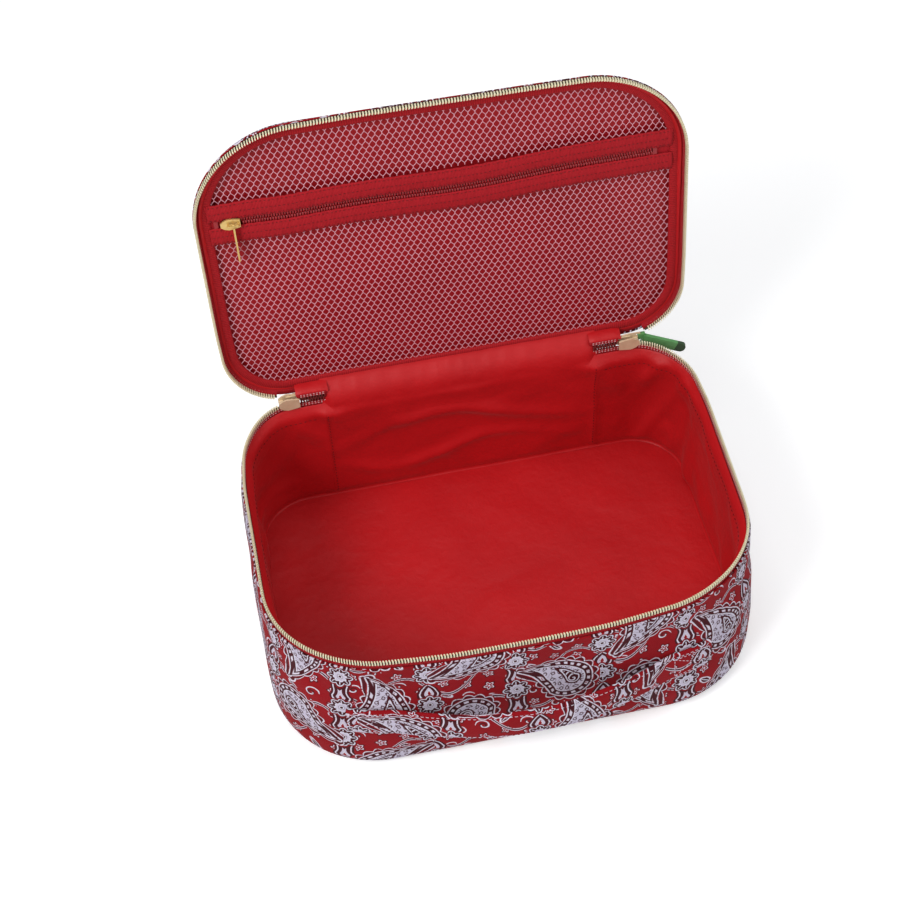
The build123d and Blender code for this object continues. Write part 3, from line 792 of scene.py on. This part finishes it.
def tooth_row(name, point, low_s, high_s, foot, rise_sign, body, material, phase=0.0, tall=3.1, nodes=(), slot="teeth"):
    """Teeth from low_s to high_s, that rise from the height foot."""
    shapes = []
    for i in range(int((high_s - low_s) / TOOTH_PITCH)):
        s = low_s + (i + 0.5 + phase) * TOOTH_PITCH
        out = edge_out(point)(np.array([s]))
        a = point(np.array([s - 0.3, s + 0.3]), 1.6, foot, out)
        b = point(np.array([s, s]), 1.6, foot + rise_sign, out)
        centre = a.mean(axis=0)
        along = a[1] - a[0]
        along /= np.linalg.norm(along)
        rise = b[0] - centre
        rise /= np.linalg.norm(rise)
        out = np.cross(along, rise)
        shapes.append(tooth(centre, along, out, rise, 0.74, 1.6, tall, 0.3 * rise_sign))
    obj = many(name, shapes, material)
    for p in obj.data.polygons:
        p.use_smooth = False
    return done(obj, body, *nodes, slot=slot)


CIRCLE = [2 * math.pi * k / 8 for k in range(9)]


def cord_with_painted_gap_shade(name, point, low_s, high_s, z, body):
    """The bead that the teeth are fixed to, a real cord whose near-black colour is painted shade in the gaps between
    the teeth.
    """
    s = samples(low_s, high_s)
    rows = [point(s, 1.6 + 0.5 * math.cos(q), z + 0.9 * math.sin(q), edge_out(point)(s)) for q in CIRCLE]
    done(grid(name, rows, [stack([s, k]) for k in range(9)], CORD_GAP_SHADE), body, slot="teeth")


open_low = SLIDER_X + 6.5
tooth_row("rim_teeth", bag_point, open_low, LENGTH - open_low, 95.5, 1.0, "bag", TOOTH, nodes=("lower_zip_teeth",))
# the cord under the teeth, dark as painted shade between them
cord_with_painted_gap_shade("rim_cord_gap_shade", bag_point, open_low - 2, LENGTH - open_low + 2, 96.15, "bag")

lid_low = open_low + 4 * TOOTH_PITCH
lid_high = LENGTH - LEFT_FREE_X
tooth_row("lid_teeth", lid_point, lid_low, lid_high, 2.5, -1.0, "lid", TOOTH, phase=0.5, nodes=("upper_zip_teeth",))
cord_with_painted_gap_shade("lid_cord_gap_shade", lid_point, lid_low - 1, lid_high + 1, 1.85, "lid")
tape_band("lid_tape", lid_point, FREE_X - 1, lid_high + 1, 7.0, 2.4, "lid", "upper_zip_tape", lean=0.9)
for name, low_s, high_s, foot in (("lid_tape_right", 97.0, FREE_X - 0.5, 4.9),
                                  ("lid_tape_left", lid_high + 0.5, LENGTH - 97.0, 3.9)):
    tape_band(name, lid_point, low_s, high_s, 7.0, foot, "lid", lean=0.9)

# closed chain between each slider and its seam, with the tape end above it
for side_name, low_s, high_s in (("right", 81.5, 97.5), ("left", LENGTH - 97.5, LENGTH - 81.5)):
    tooth_row(f"{side_name}_chain", bag_point, low_s, high_s, 95.6, 1.0, "bag", DARK_TOOTH,
              nodes=(f"{side_name}_chain_end",), slot="chain", tall=3.0)
    tooth_row(f"{side_name}_chain_top", bag_point, low_s, high_s, 100.4, -1.0, "bag", DARK_TOOTH, phase=0.5,
              slot="chain", tall=3.0)
    s = samples(low_s - 1.5, high_s)
    path = ((1.2, 100.2), (1.2, 102.8), (1.6, 103.0), (2.0, 102.8), (2.0, 100.2))
    rows = [bag_point(s, inset, z, rim_out(s)) for inset, z in path]
    obj = grid(f"{side_name}_tape_top", rows, [stack([s, k * 1.5]) for k in range(5)], TAPE)
    done(obj, "bag", f"{side_name}_tape_end", slot="zip_tape")


# stitch rows on both faces of the tape
def ring_stitches(name, point, rows_at, low_s, high_s, body, material, inside, length=1.5, pitch=2.3, width=0.42):
    shapes = []
    for inset, z in rows_at:
        s = samples(low_s, high_s, 1.5)
        p = point(s, inset, z, edge_out(point)(s))
        q = point(s, inset - 1.0, z, edge_out(point)(s))
        n = (p - q) if inside else (q - p)
        shapes += stitch_line(p, n, length, pitch, width)
    return done(many(name, shapes, material), body, slot="zip_tape")


ring_stitches("rim_stitch_in", bag_point, ((2.05, 93.5), (2.05, 95.0)), 81.5, LENGTH - 81.5, "bag", PINK_THREAD, True,
              1.3, 1.9, 0.6)
ring_stitches("lid_stitch_in", lid_point, ((2.05, 2.8), (2.55, 3.7)), FREE_X, LENGTH - FREE_X, "lid", PINK_THREAD, True)
for chain_side, low_s, high_s in (("right", 81.5, 97.0), ("left", LENGTH - 97.0, LENGTH - 81.5)):
    ring_stitches(f"{chain_side}_chain_stitch", bag_point, ((2.1, 101.2), (2.1, 102.5)), low_s, high_s, "bag",
                  PINK_THREAD, True, 1.3, 1.9, 0.6)
ring_stitches("rim_stitch_out", bag_point, ((1.15, 94.5),), S0, S1, "bag", RED_THREAD, False, 1.6, 2.6)

# ---- the lid's cloth
def back_lift(s):
    """The lid's edge stands a little higher at the back, clear of the sliders and their pulls."""
    return 1.5 * near(s, 0, 230) ** 0.25


def lid_wall(name, low_s, high_s):
    s = samples(low_s, high_s)
    profile = [(1.9, 4.3), (1.6, 3.8), (1.2, 3.5), (0.8, 3.55), (0.75, 4.0), (1.2, 4.6), (2.1, 5.4), (3.1, 6.3),
               (4.2, 7.3)]
    rows = [lid_point(s, inset, h + back_lift(s) * (1 - ramp(h, 4, 7.3)), lid_out(s, h)) for inset, h in profile]
    return grid(name, rows, [stack([s, v + 31.0]) for v in path_runs(profile)], CLOTH)


gusset = lid_wall("lid_side", S0, S1)
done(gusset, "lid", "lid_gusset", "gusset_padding", slot="printed_fabric")
gusset_back = lid_wall("lid_side_back", -S0, S0)
done(gusset_back, "lid", slot="printed_fabric")

# top panel with its rounded edge and a soft crown
s_ring = samples(0, LENGTH, 4.0)
rows, uvs = [], []
profile = [(4.2, 7.3), (4.9, 8.2), (6.0, 9.3), (7.6, 10.4), (9.8, 11.4), (12.6, 12.3), (16.0, 13.0), (22.0, 13.7),
           (31.0, 14.2)]
x, y, nx, ny = outline(s_ring)
for inset, h in profile:
    rows.append(lid_point(s_ring, inset, h + 0.25 * waves(FINE, s_ring, inset), lid_out(s_ring, h)))
    uvs.append(stack([x - nx * inset + 700, y - ny * inset + 700]))
ex, ey = x - nx * 31.0, y - ny * 31.0
for shrink in (0.8, 0.6, 0.4, 0.2, 0.0004):
    crown = LID_H + 0.3 + 0.9 * (1 - shrink)
    rows.append(lid_world(ex * shrink, ey * shrink, crown + 0.4 * waves(WAVES, ex * shrink, ey * shrink)))
    uvs.append(stack([ex * shrink + 700, ey * shrink + 700]))
top = grid("lid_top", rows, uvs, CLOTH)
done(top, "lid", "lid_top_panel", "lid_padding", slot="printed_fabric")

# piping on the seam between side and top
rows = [lid_point(s_ring, 4.5 + 0.8 * math.cos(q), 7.5 + 0.8 * math.sin(q), lid_out(s_ring, 7.3)) for q in CIRCLE]
uvs = [stack([s_ring, k * 0.8 + 10]) for k in range(9)]
done(grid("lid_piping", rows, uvs, CLOTH), "lid", slot="printed_fabric")

# ---- lining of the lid
s_ring = samples(0, LENGTH, 3.0)
rows, uvs = [], []
profile = [(3.3, 4.6), (3.6, 4.1), (4.4, 4.0), (5.2, 4.6), (6.0, 6.0), (6.8, 7.6), (7.8, 8.8), (9.0, 9.3)]
for inset, h in profile:
    lift = back_lift(s_ring) * (1 - ramp(h, 4.0, 8.0))
    rows.append(lid_point(s_ring, inset + 0.25 + 0.3 * waves(FINE, ring_run(s_ring), h), h + lift, lid_rim_out(s_ring)))
    uvs.append(stack([s_ring, h]))
obj = grid("lid_side_lining", rows, uvs, LINING, flip=True)
done(obj, "lid", "gusset_lining", slot="satin_lining")

rows, uvs = [], []
x, y, nx, ny = outline(s_ring)
ex, ey = x - nx * 8.8, y - ny * 8.8
for shrink in np.concatenate([np.linspace(1.0, 0.1, 20), [0.0004]]):
    px, py = ex * shrink, ey * shrink
    h = 9.4 + (0.7 * waves(FINE, px * 0.8, py * 0.8) + 0.6 * waves(WAVES, px, py)) * min(1, (1 - shrink) * 3)
    rows.append(lid_world(px, py, h))
    uvs.append(stack([px + 300, py + 300]))
obj = grid("lid_top_lining", rows, uvs, LID_LINING, flip=True)
done(obj, "lid", "lid_lining", "lid_board", slot="satin_lining")

# binding round the lid's window: a folded ribbed tape, rounded over its inner edge
profile = [(4.4, 6.9), (4.6, 5.9), (5.4, 5.3), (7.4, 5.1), (9.4, 5.35), (10.2, 5.9), (10.3, 6.5), (9.8, 6.9)]
rows = [lid_point(s_ring, inset, h, lid_rim_out(s_ring)) for inset, h in profile]
uvs = [stack([s_ring, k * 1.4]) for k in range(8)]
obj = grid("lid_window_binding", rows, uvs, BINDING, flip=True)
done(obj, "lid", "lid_binding", slot="binding")


# ---- net
def inside_plan(x, y, inset):
    """Distance in from the plan's outline drawn in by inset: positive inside."""
    corner = np.where(y < 0, FRONT_R, BACK_R) - inset
    hx, hy = WIDTH / 2 - inset, DEPTH / 2 - inset
    qx, qy = np.abs(x) - (hx - corner), np.abs(y) - (hy - corner)
    out = np.hypot(np.maximum(qx, 0), np.maximum(qy, 0)) + np.minimum(np.maximum(qx, qy), 0) - corner
    return -out


def net_sag(x, y):
    """The net lies slack between its edges."""
    edge = np.clip(inside_plan(x, y, 9.0) / 40, 0, 1)
    band = np.clip(np.abs(y - POCKET_Y) / 40, 0, 1)
    return (0.9 + 0.9 * waves(FINE, x * 0.6, y * 0.6)) * np.sqrt(edge) * np.sqrt(band)


def net(name, low_y, high_y, node):
    """Knitted net with six-sided holes: yarns as flattened tubes between knots."""
    wide, tall = 3.8, 6.5
    cols = int(WIDTH / wide / 2) + 3
    nodes_xy, edges, index = [], [], {}

    def knot(i, j, k):
        key = (i, j, k)
        if key not in index:
            x = (i + 0.5 * (j % 2)) * wide
            y = j * tall / 2 + k * 0.55
            index[key] = len(nodes_xy)
            nodes_xy.append((x, y))
        return index[key]

    first, last = int(low_y / (tall / 2)) - 2, int(high_y / (tall / 2)) + 2
    for j in range(first, last):
        for i in range(-cols, cols):
            a, b = knot(i, j, -1), knot(i, j, 1)
            edges.append((a, b, 1.25))
            left = i if j % 2 else i - 1
            edges += [(b, knot(left, j + 1, -1), 1.0), (b, knot(left + 1, j + 1, -1), 1.0)]
    xy = np.array(nodes_xy)
    good = (inside_plan(xy[:, 0], xy[:, 1], 8.2) > 0) & (xy[:, 1] > low_y) & (xy[:, 1] < high_y)
    h = NET_H - net_sag(xy[:, 0], xy[:, 1])
    pos = lid_world(xy[:, 0], xy[:, 1], h)
    verts, faces = [], []
    for a, b, size in edges:
        if not (good[a] and good[b]):
            continue
        p, q = pos[a], pos[b]
        along = (q - p) / np.linalg.norm(q - p)
        side = np.cross(along, up_l)
        side /= np.linalg.norm(side)
        base = len(verts)
        for end, sign in ((p, -1), (q, 1)):
            for dx, dh in ((-0.23, 0), (0, 0.18), (0.23, 0), (0, -0.18)):
                verts.append(end + along * sign * 0.12 + side * dx * size + up_l * dh * size)
        for k in range(4):
            faces.append((base + k, base + (k + 1) % 4, base + 4 + (k + 1) % 4, base + 4 + k))
    obj = to_object(name, np.array(verts) / 1000, faces)
    obj.data.materials.append(NET)
    return done(obj, "lid", node, slot="net")


net("net_upper", -97.0, POCKET_Y - 12.0, "mesh_upper")
net("net_lower", POCKET_Y + 12.0, 97.0, "mesh_lower")


# ---- pocket band and its zip
def band_sag(x):
    """The band hangs a little below a straight line between its ends, and wanders."""
    free = ramp(x, -112, -82) * (1 - ramp(x, 78, 106))
    sag = 1.6 * np.sin((x + 119) * math.pi / 238) + 0.9 * np.sin(x * 0.052 + 0.8)
    return free * (sag + 0.5 * waves(WAVES, x * 1.7, 0))


def band_height(x, y, t):
    puff = np.sin(t * math.pi) * 0.7
    pucker = 0.25 * np.sin(x * 1.15 + 2.0 * np.sin(x * 0.13)) * np.abs(np.cos(t * math.pi))
    return 5.4 - puff - 0.6 * waves(FINE, x * 0.9, y) - pucker - 0.35 * ramp(np.abs(x), 0, 60)


def pocket_band(name, low_y, high_y, node):
    x = np.linspace(-131, 131, 240)
    rows, uvs = [], []
    for y in np.linspace(low_y, high_y, 14):
        h = band_height(x, y, (y - low_y) / (high_y - low_y))
        keep = np.where(inside_plan(x, y + 0 * x, 9.0) > 0, x, np.sign(x) * (WIDTH / 2 - 9.0))
        rows.append(lid_world(keep, y + band_sag(x), h))
        uvs.append(stack([x, y]))
    obj = grid(name, rows, uvs, POCKET_TAPE, flip=True, thick=0.7)
    done(obj, "lid", node, slot="zip_tape")
    shapes = []
    for y in (low_y + 1.3, high_y - 1.3, (low_y + high_y) / 2):
        h = band_height(x, y, (y - low_y) / (high_y - low_y)) - 0.1
        p = lid_world(x, y + band_sag(x), h)[1:-1]
        shapes += stitch_line(p, np.broadcast_to(-up_l, p.shape), 1.4, 2.4, 0.45)
    done(many(f"{name}_stitch", shapes, RED_THREAD), "lid", slot="zip_tape")


pocket_band("pocket_band_upper", POCKET_Y - 13.5, POCKET_Y - 2.3, "pocket_tape_upper")
pocket_band("pocket_band_lower", POCKET_Y + 2.3, POCKET_Y + 13.5, "pocket_tape_lower")


def pocket_chain():
    """Coil zip: fine turns on each side, closed along the slit."""
    shapes = []
    x = -112.6
    while x < 118.5:
        for sign, cx in ((-1, x), (1, x + 0.75)):
            centre = lid_world(cx, POCKET_Y + sign * 1.15 + float(band_sag(np.array(cx))), 5.9)
            across = back_l * sign
            shapes.append(tooth(centre - across * 1.1, np.array([1.0, 0, 0]), -up_l, across, 1.0, 1.5, 2.5, 0.25))
        x += 1.5
    done(many("pocket_chain", shapes, COIL), "lid", "pocket_coil", slot="coil")


pocket_chain()
# the tapes close under the two ends of the slit
for name, low_x, high_x in (("slit_end_left", -131.5, -123.5), ("slit_end_right", 121.5, 131.5)):
    x = np.linspace(low_x, high_x, 7)
    across = (-3.4, -1.2, 1.2, 3.4)
    rows, uvs = [lid_world(x, POCKET_Y + dy, 6.35) for dy in across], [stack([x, dy]) for dy in across]
    done(grid(name, rows, uvs, POCKET_TAPE, flip=True), "lid", slot="zip_tape")


# ---- hinge cloth, outside and inside
def hinge_cloth(name, path, low_x, high_x, material, flip, seed, nodes=(), hem=0.0):
    """Cloth across the hinge: rows along a path of (y, z) points, between two places in x."""
    path = np.array(path, float)
    steps = np.concatenate([[0], np.cumsum(np.hypot(*np.diff(path, axis=0).T))])
    fine = np.linspace(0, steps[-1], 22)
    # a smooth line through the path's points
    for _ in range(2):
        py, pz = np.interp(fine, steps, path[:, 0]), np.interp(fine, steps, path[:, 1])
        path = stack([py, pz])
        path[1:-1] = path[1:-1] * 0.5 + (path[2:] + path[:-2]) * 0.25
        steps = np.concatenate([[0], np.cumsum(np.hypot(*np.diff(path, axis=0).T))])
        fine = np.linspace(0, steps[-1], 22)
    x = np.linspace(low_x, high_x, int((high_x - low_x) / 1.4) + 2)
    rows, uvs = [], []
    for k, (y, z) in enumerate(path):
        lie = math.sin(k / (len(path) - 1) * math.pi)
        slack = lie * (0.9 * waves(FINE, x * 1.4 + seed, steps[k] * 2) + 0.5 * waves(WAVES, x * 1.6, seed + steps[k]))
        tuck = 1 - ramp(np.minimum(x - low_x, high_x - x), 0, 3.5)
        rows.append(stack([x, y - abs(slack) * 0.3 + tuck * hem * lie, z + slack * 0.7 - tuck * hem * 0.4]))
        uvs.append(stack([x, steps[k]]))
    obj = grid(name, rows, uvs, material, flip=flip)
    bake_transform(obj)
    if nodes:
        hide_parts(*nodes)
    return obj


outer_path = [(97.3, 90.0), (97.35, 93.0), (97.4, 95.4), (97.7, 97.0), (98.8, 97.9), (100.6, 97.6), (102.8, 97.2),
              (105.0, 96.9)]
hinge_outer = hinge_cloth("hinge_outside", outer_path, -80.5, 80.5, CLOTH, False, 3.0,
                          ("hinge_leaf_lower", "hinge_leaf_upper"))
x = np.linspace(0.5 - SEAM_X, SEAM_X - 0.5, 150)
tuck = 2.6 * ramp(np.abs(x), SEAM_X - 7, SEAM_X - 0.5)
rows, uvs = [], []
for z, off in ((68.0, 0.8), (72.0, 0.35), (76.0, 0.0), (80.0, -0.25), (84.0, -0.4), (87.0, -0.5)):
    rows.append(lining_point(x, z) + stack([0, off + tuck * ramp(z, 74, 88), 0]))
    uvs.append(stack([x, z]))
inner_path = [(91.5, 89.5), (91.9, 92.0), (92.7, 94.6), (93.9, 97.2), (95.6, 99.6), (97.8, 101.6), (100.2, 103.0),
              (102.0, 104.2), (102.9, 105.6)]
for k, (y, z) in enumerate(inner_path):
    lie = math.sin((k + 1) / 10 * math.pi)
    slack = 1.3 * waves(FINE, x * 1.3 + 8, z * 1.4) + 0.7 * waves(WAVES, x * 1.9, z)
    slack = lie * (slack + 0.35 * np.sin(x * 0.62 + 3 * np.sin(x * 0.07)))
    rows.append(stack([x, y - abs(slack) * 0.35 + tuck * (1 - ramp(z, 97, 101)), z + slack * 0.6]))
    uvs.append(stack([x, z + k]))
hinge_inner = grid("hinge_lining", rows, uvs, LINING, flip=True, sub=1)
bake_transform(hinge_inner)
roll_path = [(95.3, 102.4), (95.4, 103.3), (96.6, 104.3), (98.6, 104.9), (100.8, 105.0), (102.5, 104.8)]
for name, low_x, high_x in (("hinge_roll_right", SEAM_X - 5, 99.5), ("hinge_roll_left", -99.5, 5 - SEAM_X)):
    hinge_cloth(name, roll_path, low_x, high_x, LINING, True, 5.0,
                hem=1.6)


# stitches on the lining: down its two seams at the back, and round below the tape
for sign in (-1, 1):
    z = np.linspace(10, 88, 60)
    lay = np.concatenate([lining_point(np.array([sign * (SEAM_X - 2.6)]), zz) for zz in z]) + np.array([0, -0.15, 0])
    shapes = stitch_line(lay, np.broadcast_to(np.array([0, -1.0, 0]), lay.shape), 1.6, 2.8, 0.45, 0.15)
    done(many("seam_stitch_right" if sign > 0 else "seam_stitch_left", shapes, RED_THREAD), "bag", slot="satin_lining")
ring = samples(S0 + 3, S1 - 3, 1.5)
lay = lining_point(ring, 83.0)
inward = lay - bag_point(ring, 0.0, 83.0, wall_out(ring, 83.0) * 0.75 + 4.0)
shapes = stitch_line(lay + inward * 0.01, inward, 1.7, 3.0, 0.45, 0.15)
done(many("lining_stitch", shapes, RED_THREAD), "bag", slot="satin_lining")

# ---- handle on the front
def strap_middle(x):
    """How far the strap's middle line stands out from the front wall, from its two sewn feet."""
    t = np.clip(np.abs(x) / STRAP_FOOT_X, 0, 1)
    return 0.3 + 14.0 * np.clip(1 - t * t, 0, 1) ** 1.25


def front_wall(x, z):
    """The front wall's outside at x, in mm, as (point, normal)."""
    s = FRONT_S - x
    x0, y0, nx, ny = outline(s)
    out = gathered(wall_out)(s, z)
    return stack([x0 + nx * out, y0 + ny * out, 0 * x0 + z]), stack([nx, ny, 0 * nx])


def strap_point(x, across, lift):
    """A point on the strap: x along it, across from its middle line, lift off its inner face."""
    z = STRAP_Z + across
    sag = -1.8 * np.clip(1 - (np.abs(x) / STRAP_FOOT_X) ** 2, 0, 1)
    p, n = front_wall(x, z + 0 * x)
    curl = 0.0006 * across ** 2 * np.clip(1 - (np.abs(x) / 76) ** 4, 0, 1) * 5
    off = strap_middle(x) + lift - curl
    q = p + n * off[:, None]
    q[:, 2] += sag
    return q


x = np.concatenate([np.linspace(-104, -80, 14), np.linspace(-77, 77, 70), np.linspace(80, 104, 14)])
section = [(-9.2, 0.0), (-9.9, 0.5), (-10.0, 1.2), (-9.7, 1.9), (-8.8, 2.3), (-4.5, 2.5), (0, 2.55), (4.5, 2.5),
           (8.8, 2.3), (9.7, 1.9), (10.0, 1.2), (9.9, 0.5), (9.2, 0.0), (0, 0.0), (-9.2, 0.0)]
rows = np.array([strap_point(x, across, lift + 0.15 * waves(FINE, x * 0.9, across)) for across, lift in section])
uvs = [stack([x, run + 12.0]) for run in path_runs(section)]
done(grid("handle_strap", rows, uvs, CLOTH, flip=True), "bag", "front_handle", slot="strap_fabric")
caps = [(rows[:-1, end], [tuple(range(len(section) - 1))]) for end in (0, len(x) - 1)]
done(many("handle_ends", caps, CLOTH), "bag", slot="strap_fabric")

shapes = []
for across in (-8.3, 8.3):
    line = strap_point(x[2:-2], across, 2.42)
    n = front_wall(x[2:-2], STRAP_Z + across + 0 * x[2:-2])[1]
    shapes += stitch_line(line, n, 2.0, 2.9, 0.5, 0.15)
for sign in (-1, 1):
    inner, outer = sign * 81.5, sign * 102.5
    # a box with a cross in it
    for a, b in (((inner, -7), (inner, 7)), ((outer, -7), (outer, 7)), ((inner, -7), (outer, 7)),
                 ((inner, 7), (outer, -7)), ((inner, -7), (outer, -7)), ((inner, 7), (outer, 7))):
        t = np.linspace(0, 1, 12)
        xs, zs = a[0] + (b[0] - a[0]) * t, a[1] + (b[1] - a[1]) * t
        line = np.concatenate([strap_point(np.array([xx]), zz, 2.5) for xx, zz in zip(xs, zs)])
        n = np.concatenate([front_wall(np.array([xx]), np.array([STRAP_Z + zz]))[1] for xx, zz in zip(xs, zs)])
        shapes += stitch_line(line, n, 2.0, 2.7, 0.5, 0.15)
done(many("handle_stitches", shapes, THREAD), "bag", slot="strap_fabric")

# ---- metal and moulded pieces keep their solids
def dress(node, material, width):
    """Gives a CAD piece its material and rounds its edges."""
    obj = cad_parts[node]
    obj.data.materials.clear()
    obj.data.materials.append(material)
    edge = obj.modifiers.new("edge", "BEVEL")
    edge.width = width / 1000
    edge.segments = 3
    edge.limit_method = "ANGLE"
    edge.angle_limit = math.radians(35)


for side_name in ("left", "right"):
    dress(f"{side_name}_slider", SLIDER, 0.3)
    dress(f"{side_name}_pull_link", SLIDER, 0.28)
    dress(f"{side_name}_pull_strap", GREEN, 0.5)
    dress(f"{side_name}_pull_end", DARK_GREEN, 0.5)
dress("pocket_slider", GOLD, 0.25)
dress("pocket_pull", GOLD, 0.2)
dress("pocket_stops", COIL, 0.2)

# ---- floor, light and backdrop
def backdrop(name, colour, lift):
    """A pale matt floor, lifted to white where the camera or a reflection sees it."""
    material = bpy.data.materials.new(name)
    material.use_nodes = True
    tree = material.node_tree
    shader = tree.nodes["Principled BSDF"]
    shader.inputs["Base Color"].default_value = colour
    shader.inputs["Roughness"].default_value = 0.9
    shader.inputs["Emission Color"].default_value = (1, 1, 1, 1)
    Num.tree = tree
    path = tree.nodes.new("ShaderNodeLightPath")
    seen = high(high(Num(path.outputs["Is Camera Ray"]), Num(path.outputs["Is Glossy Ray"])),
                Num(path.outputs["Is Transmission Ray"]))
    tree.links.new((seen * lift).socket, shader.inputs["Emission Strength"])
    return material


corners = [(x, y, -0.0004) for x, y in ((-4, -4), (4, -4), (4, 6), (-4, 6))]
floor = to_object("floor", corners, [(0, 1, 2, 3)], smooth=False)
floor.data.materials.append(backdrop("floor", (0.86, 0.86, 0.86, 1), 0.4))

world = bpy.data.worlds.new("world")
world.use_nodes = True
bpy.context.scene.world = world
tree = world.node_tree
sky = tree.nodes["Background"]
sky.inputs[0].default_value = (0.95, 0.97, 1.0, 1)
sky.inputs[1].default_value = 0.42


def area(name, place, target, size, power):
    data = bpy.data.lights.new(name, "AREA")
    data.size = size
    data.energy = power
    lamp = bpy.data.objects.new(name, data)
    lamp.location = place
    direction = Vector(target) - Vector(place)
    lamp.rotation_euler = direction.to_track_quat("-Z", "Y").to_euler()
    bpy.context.scene.collection.objects.link(lamp)


area("key", (-0.85, -0.55, 1.15), (0, 0, 0.08), 0.55, 12.0)
area("fill", (0.9, -0.7, 0.9), (0, 0, 0.1), 0.9, 3.5)
area("top", (0.0, 0.1, 1.4), (0, 0.0, 0.08), 0.7, 3.5)

scene = bpy.context.scene
scene.view_settings.view_transform = "Standard"
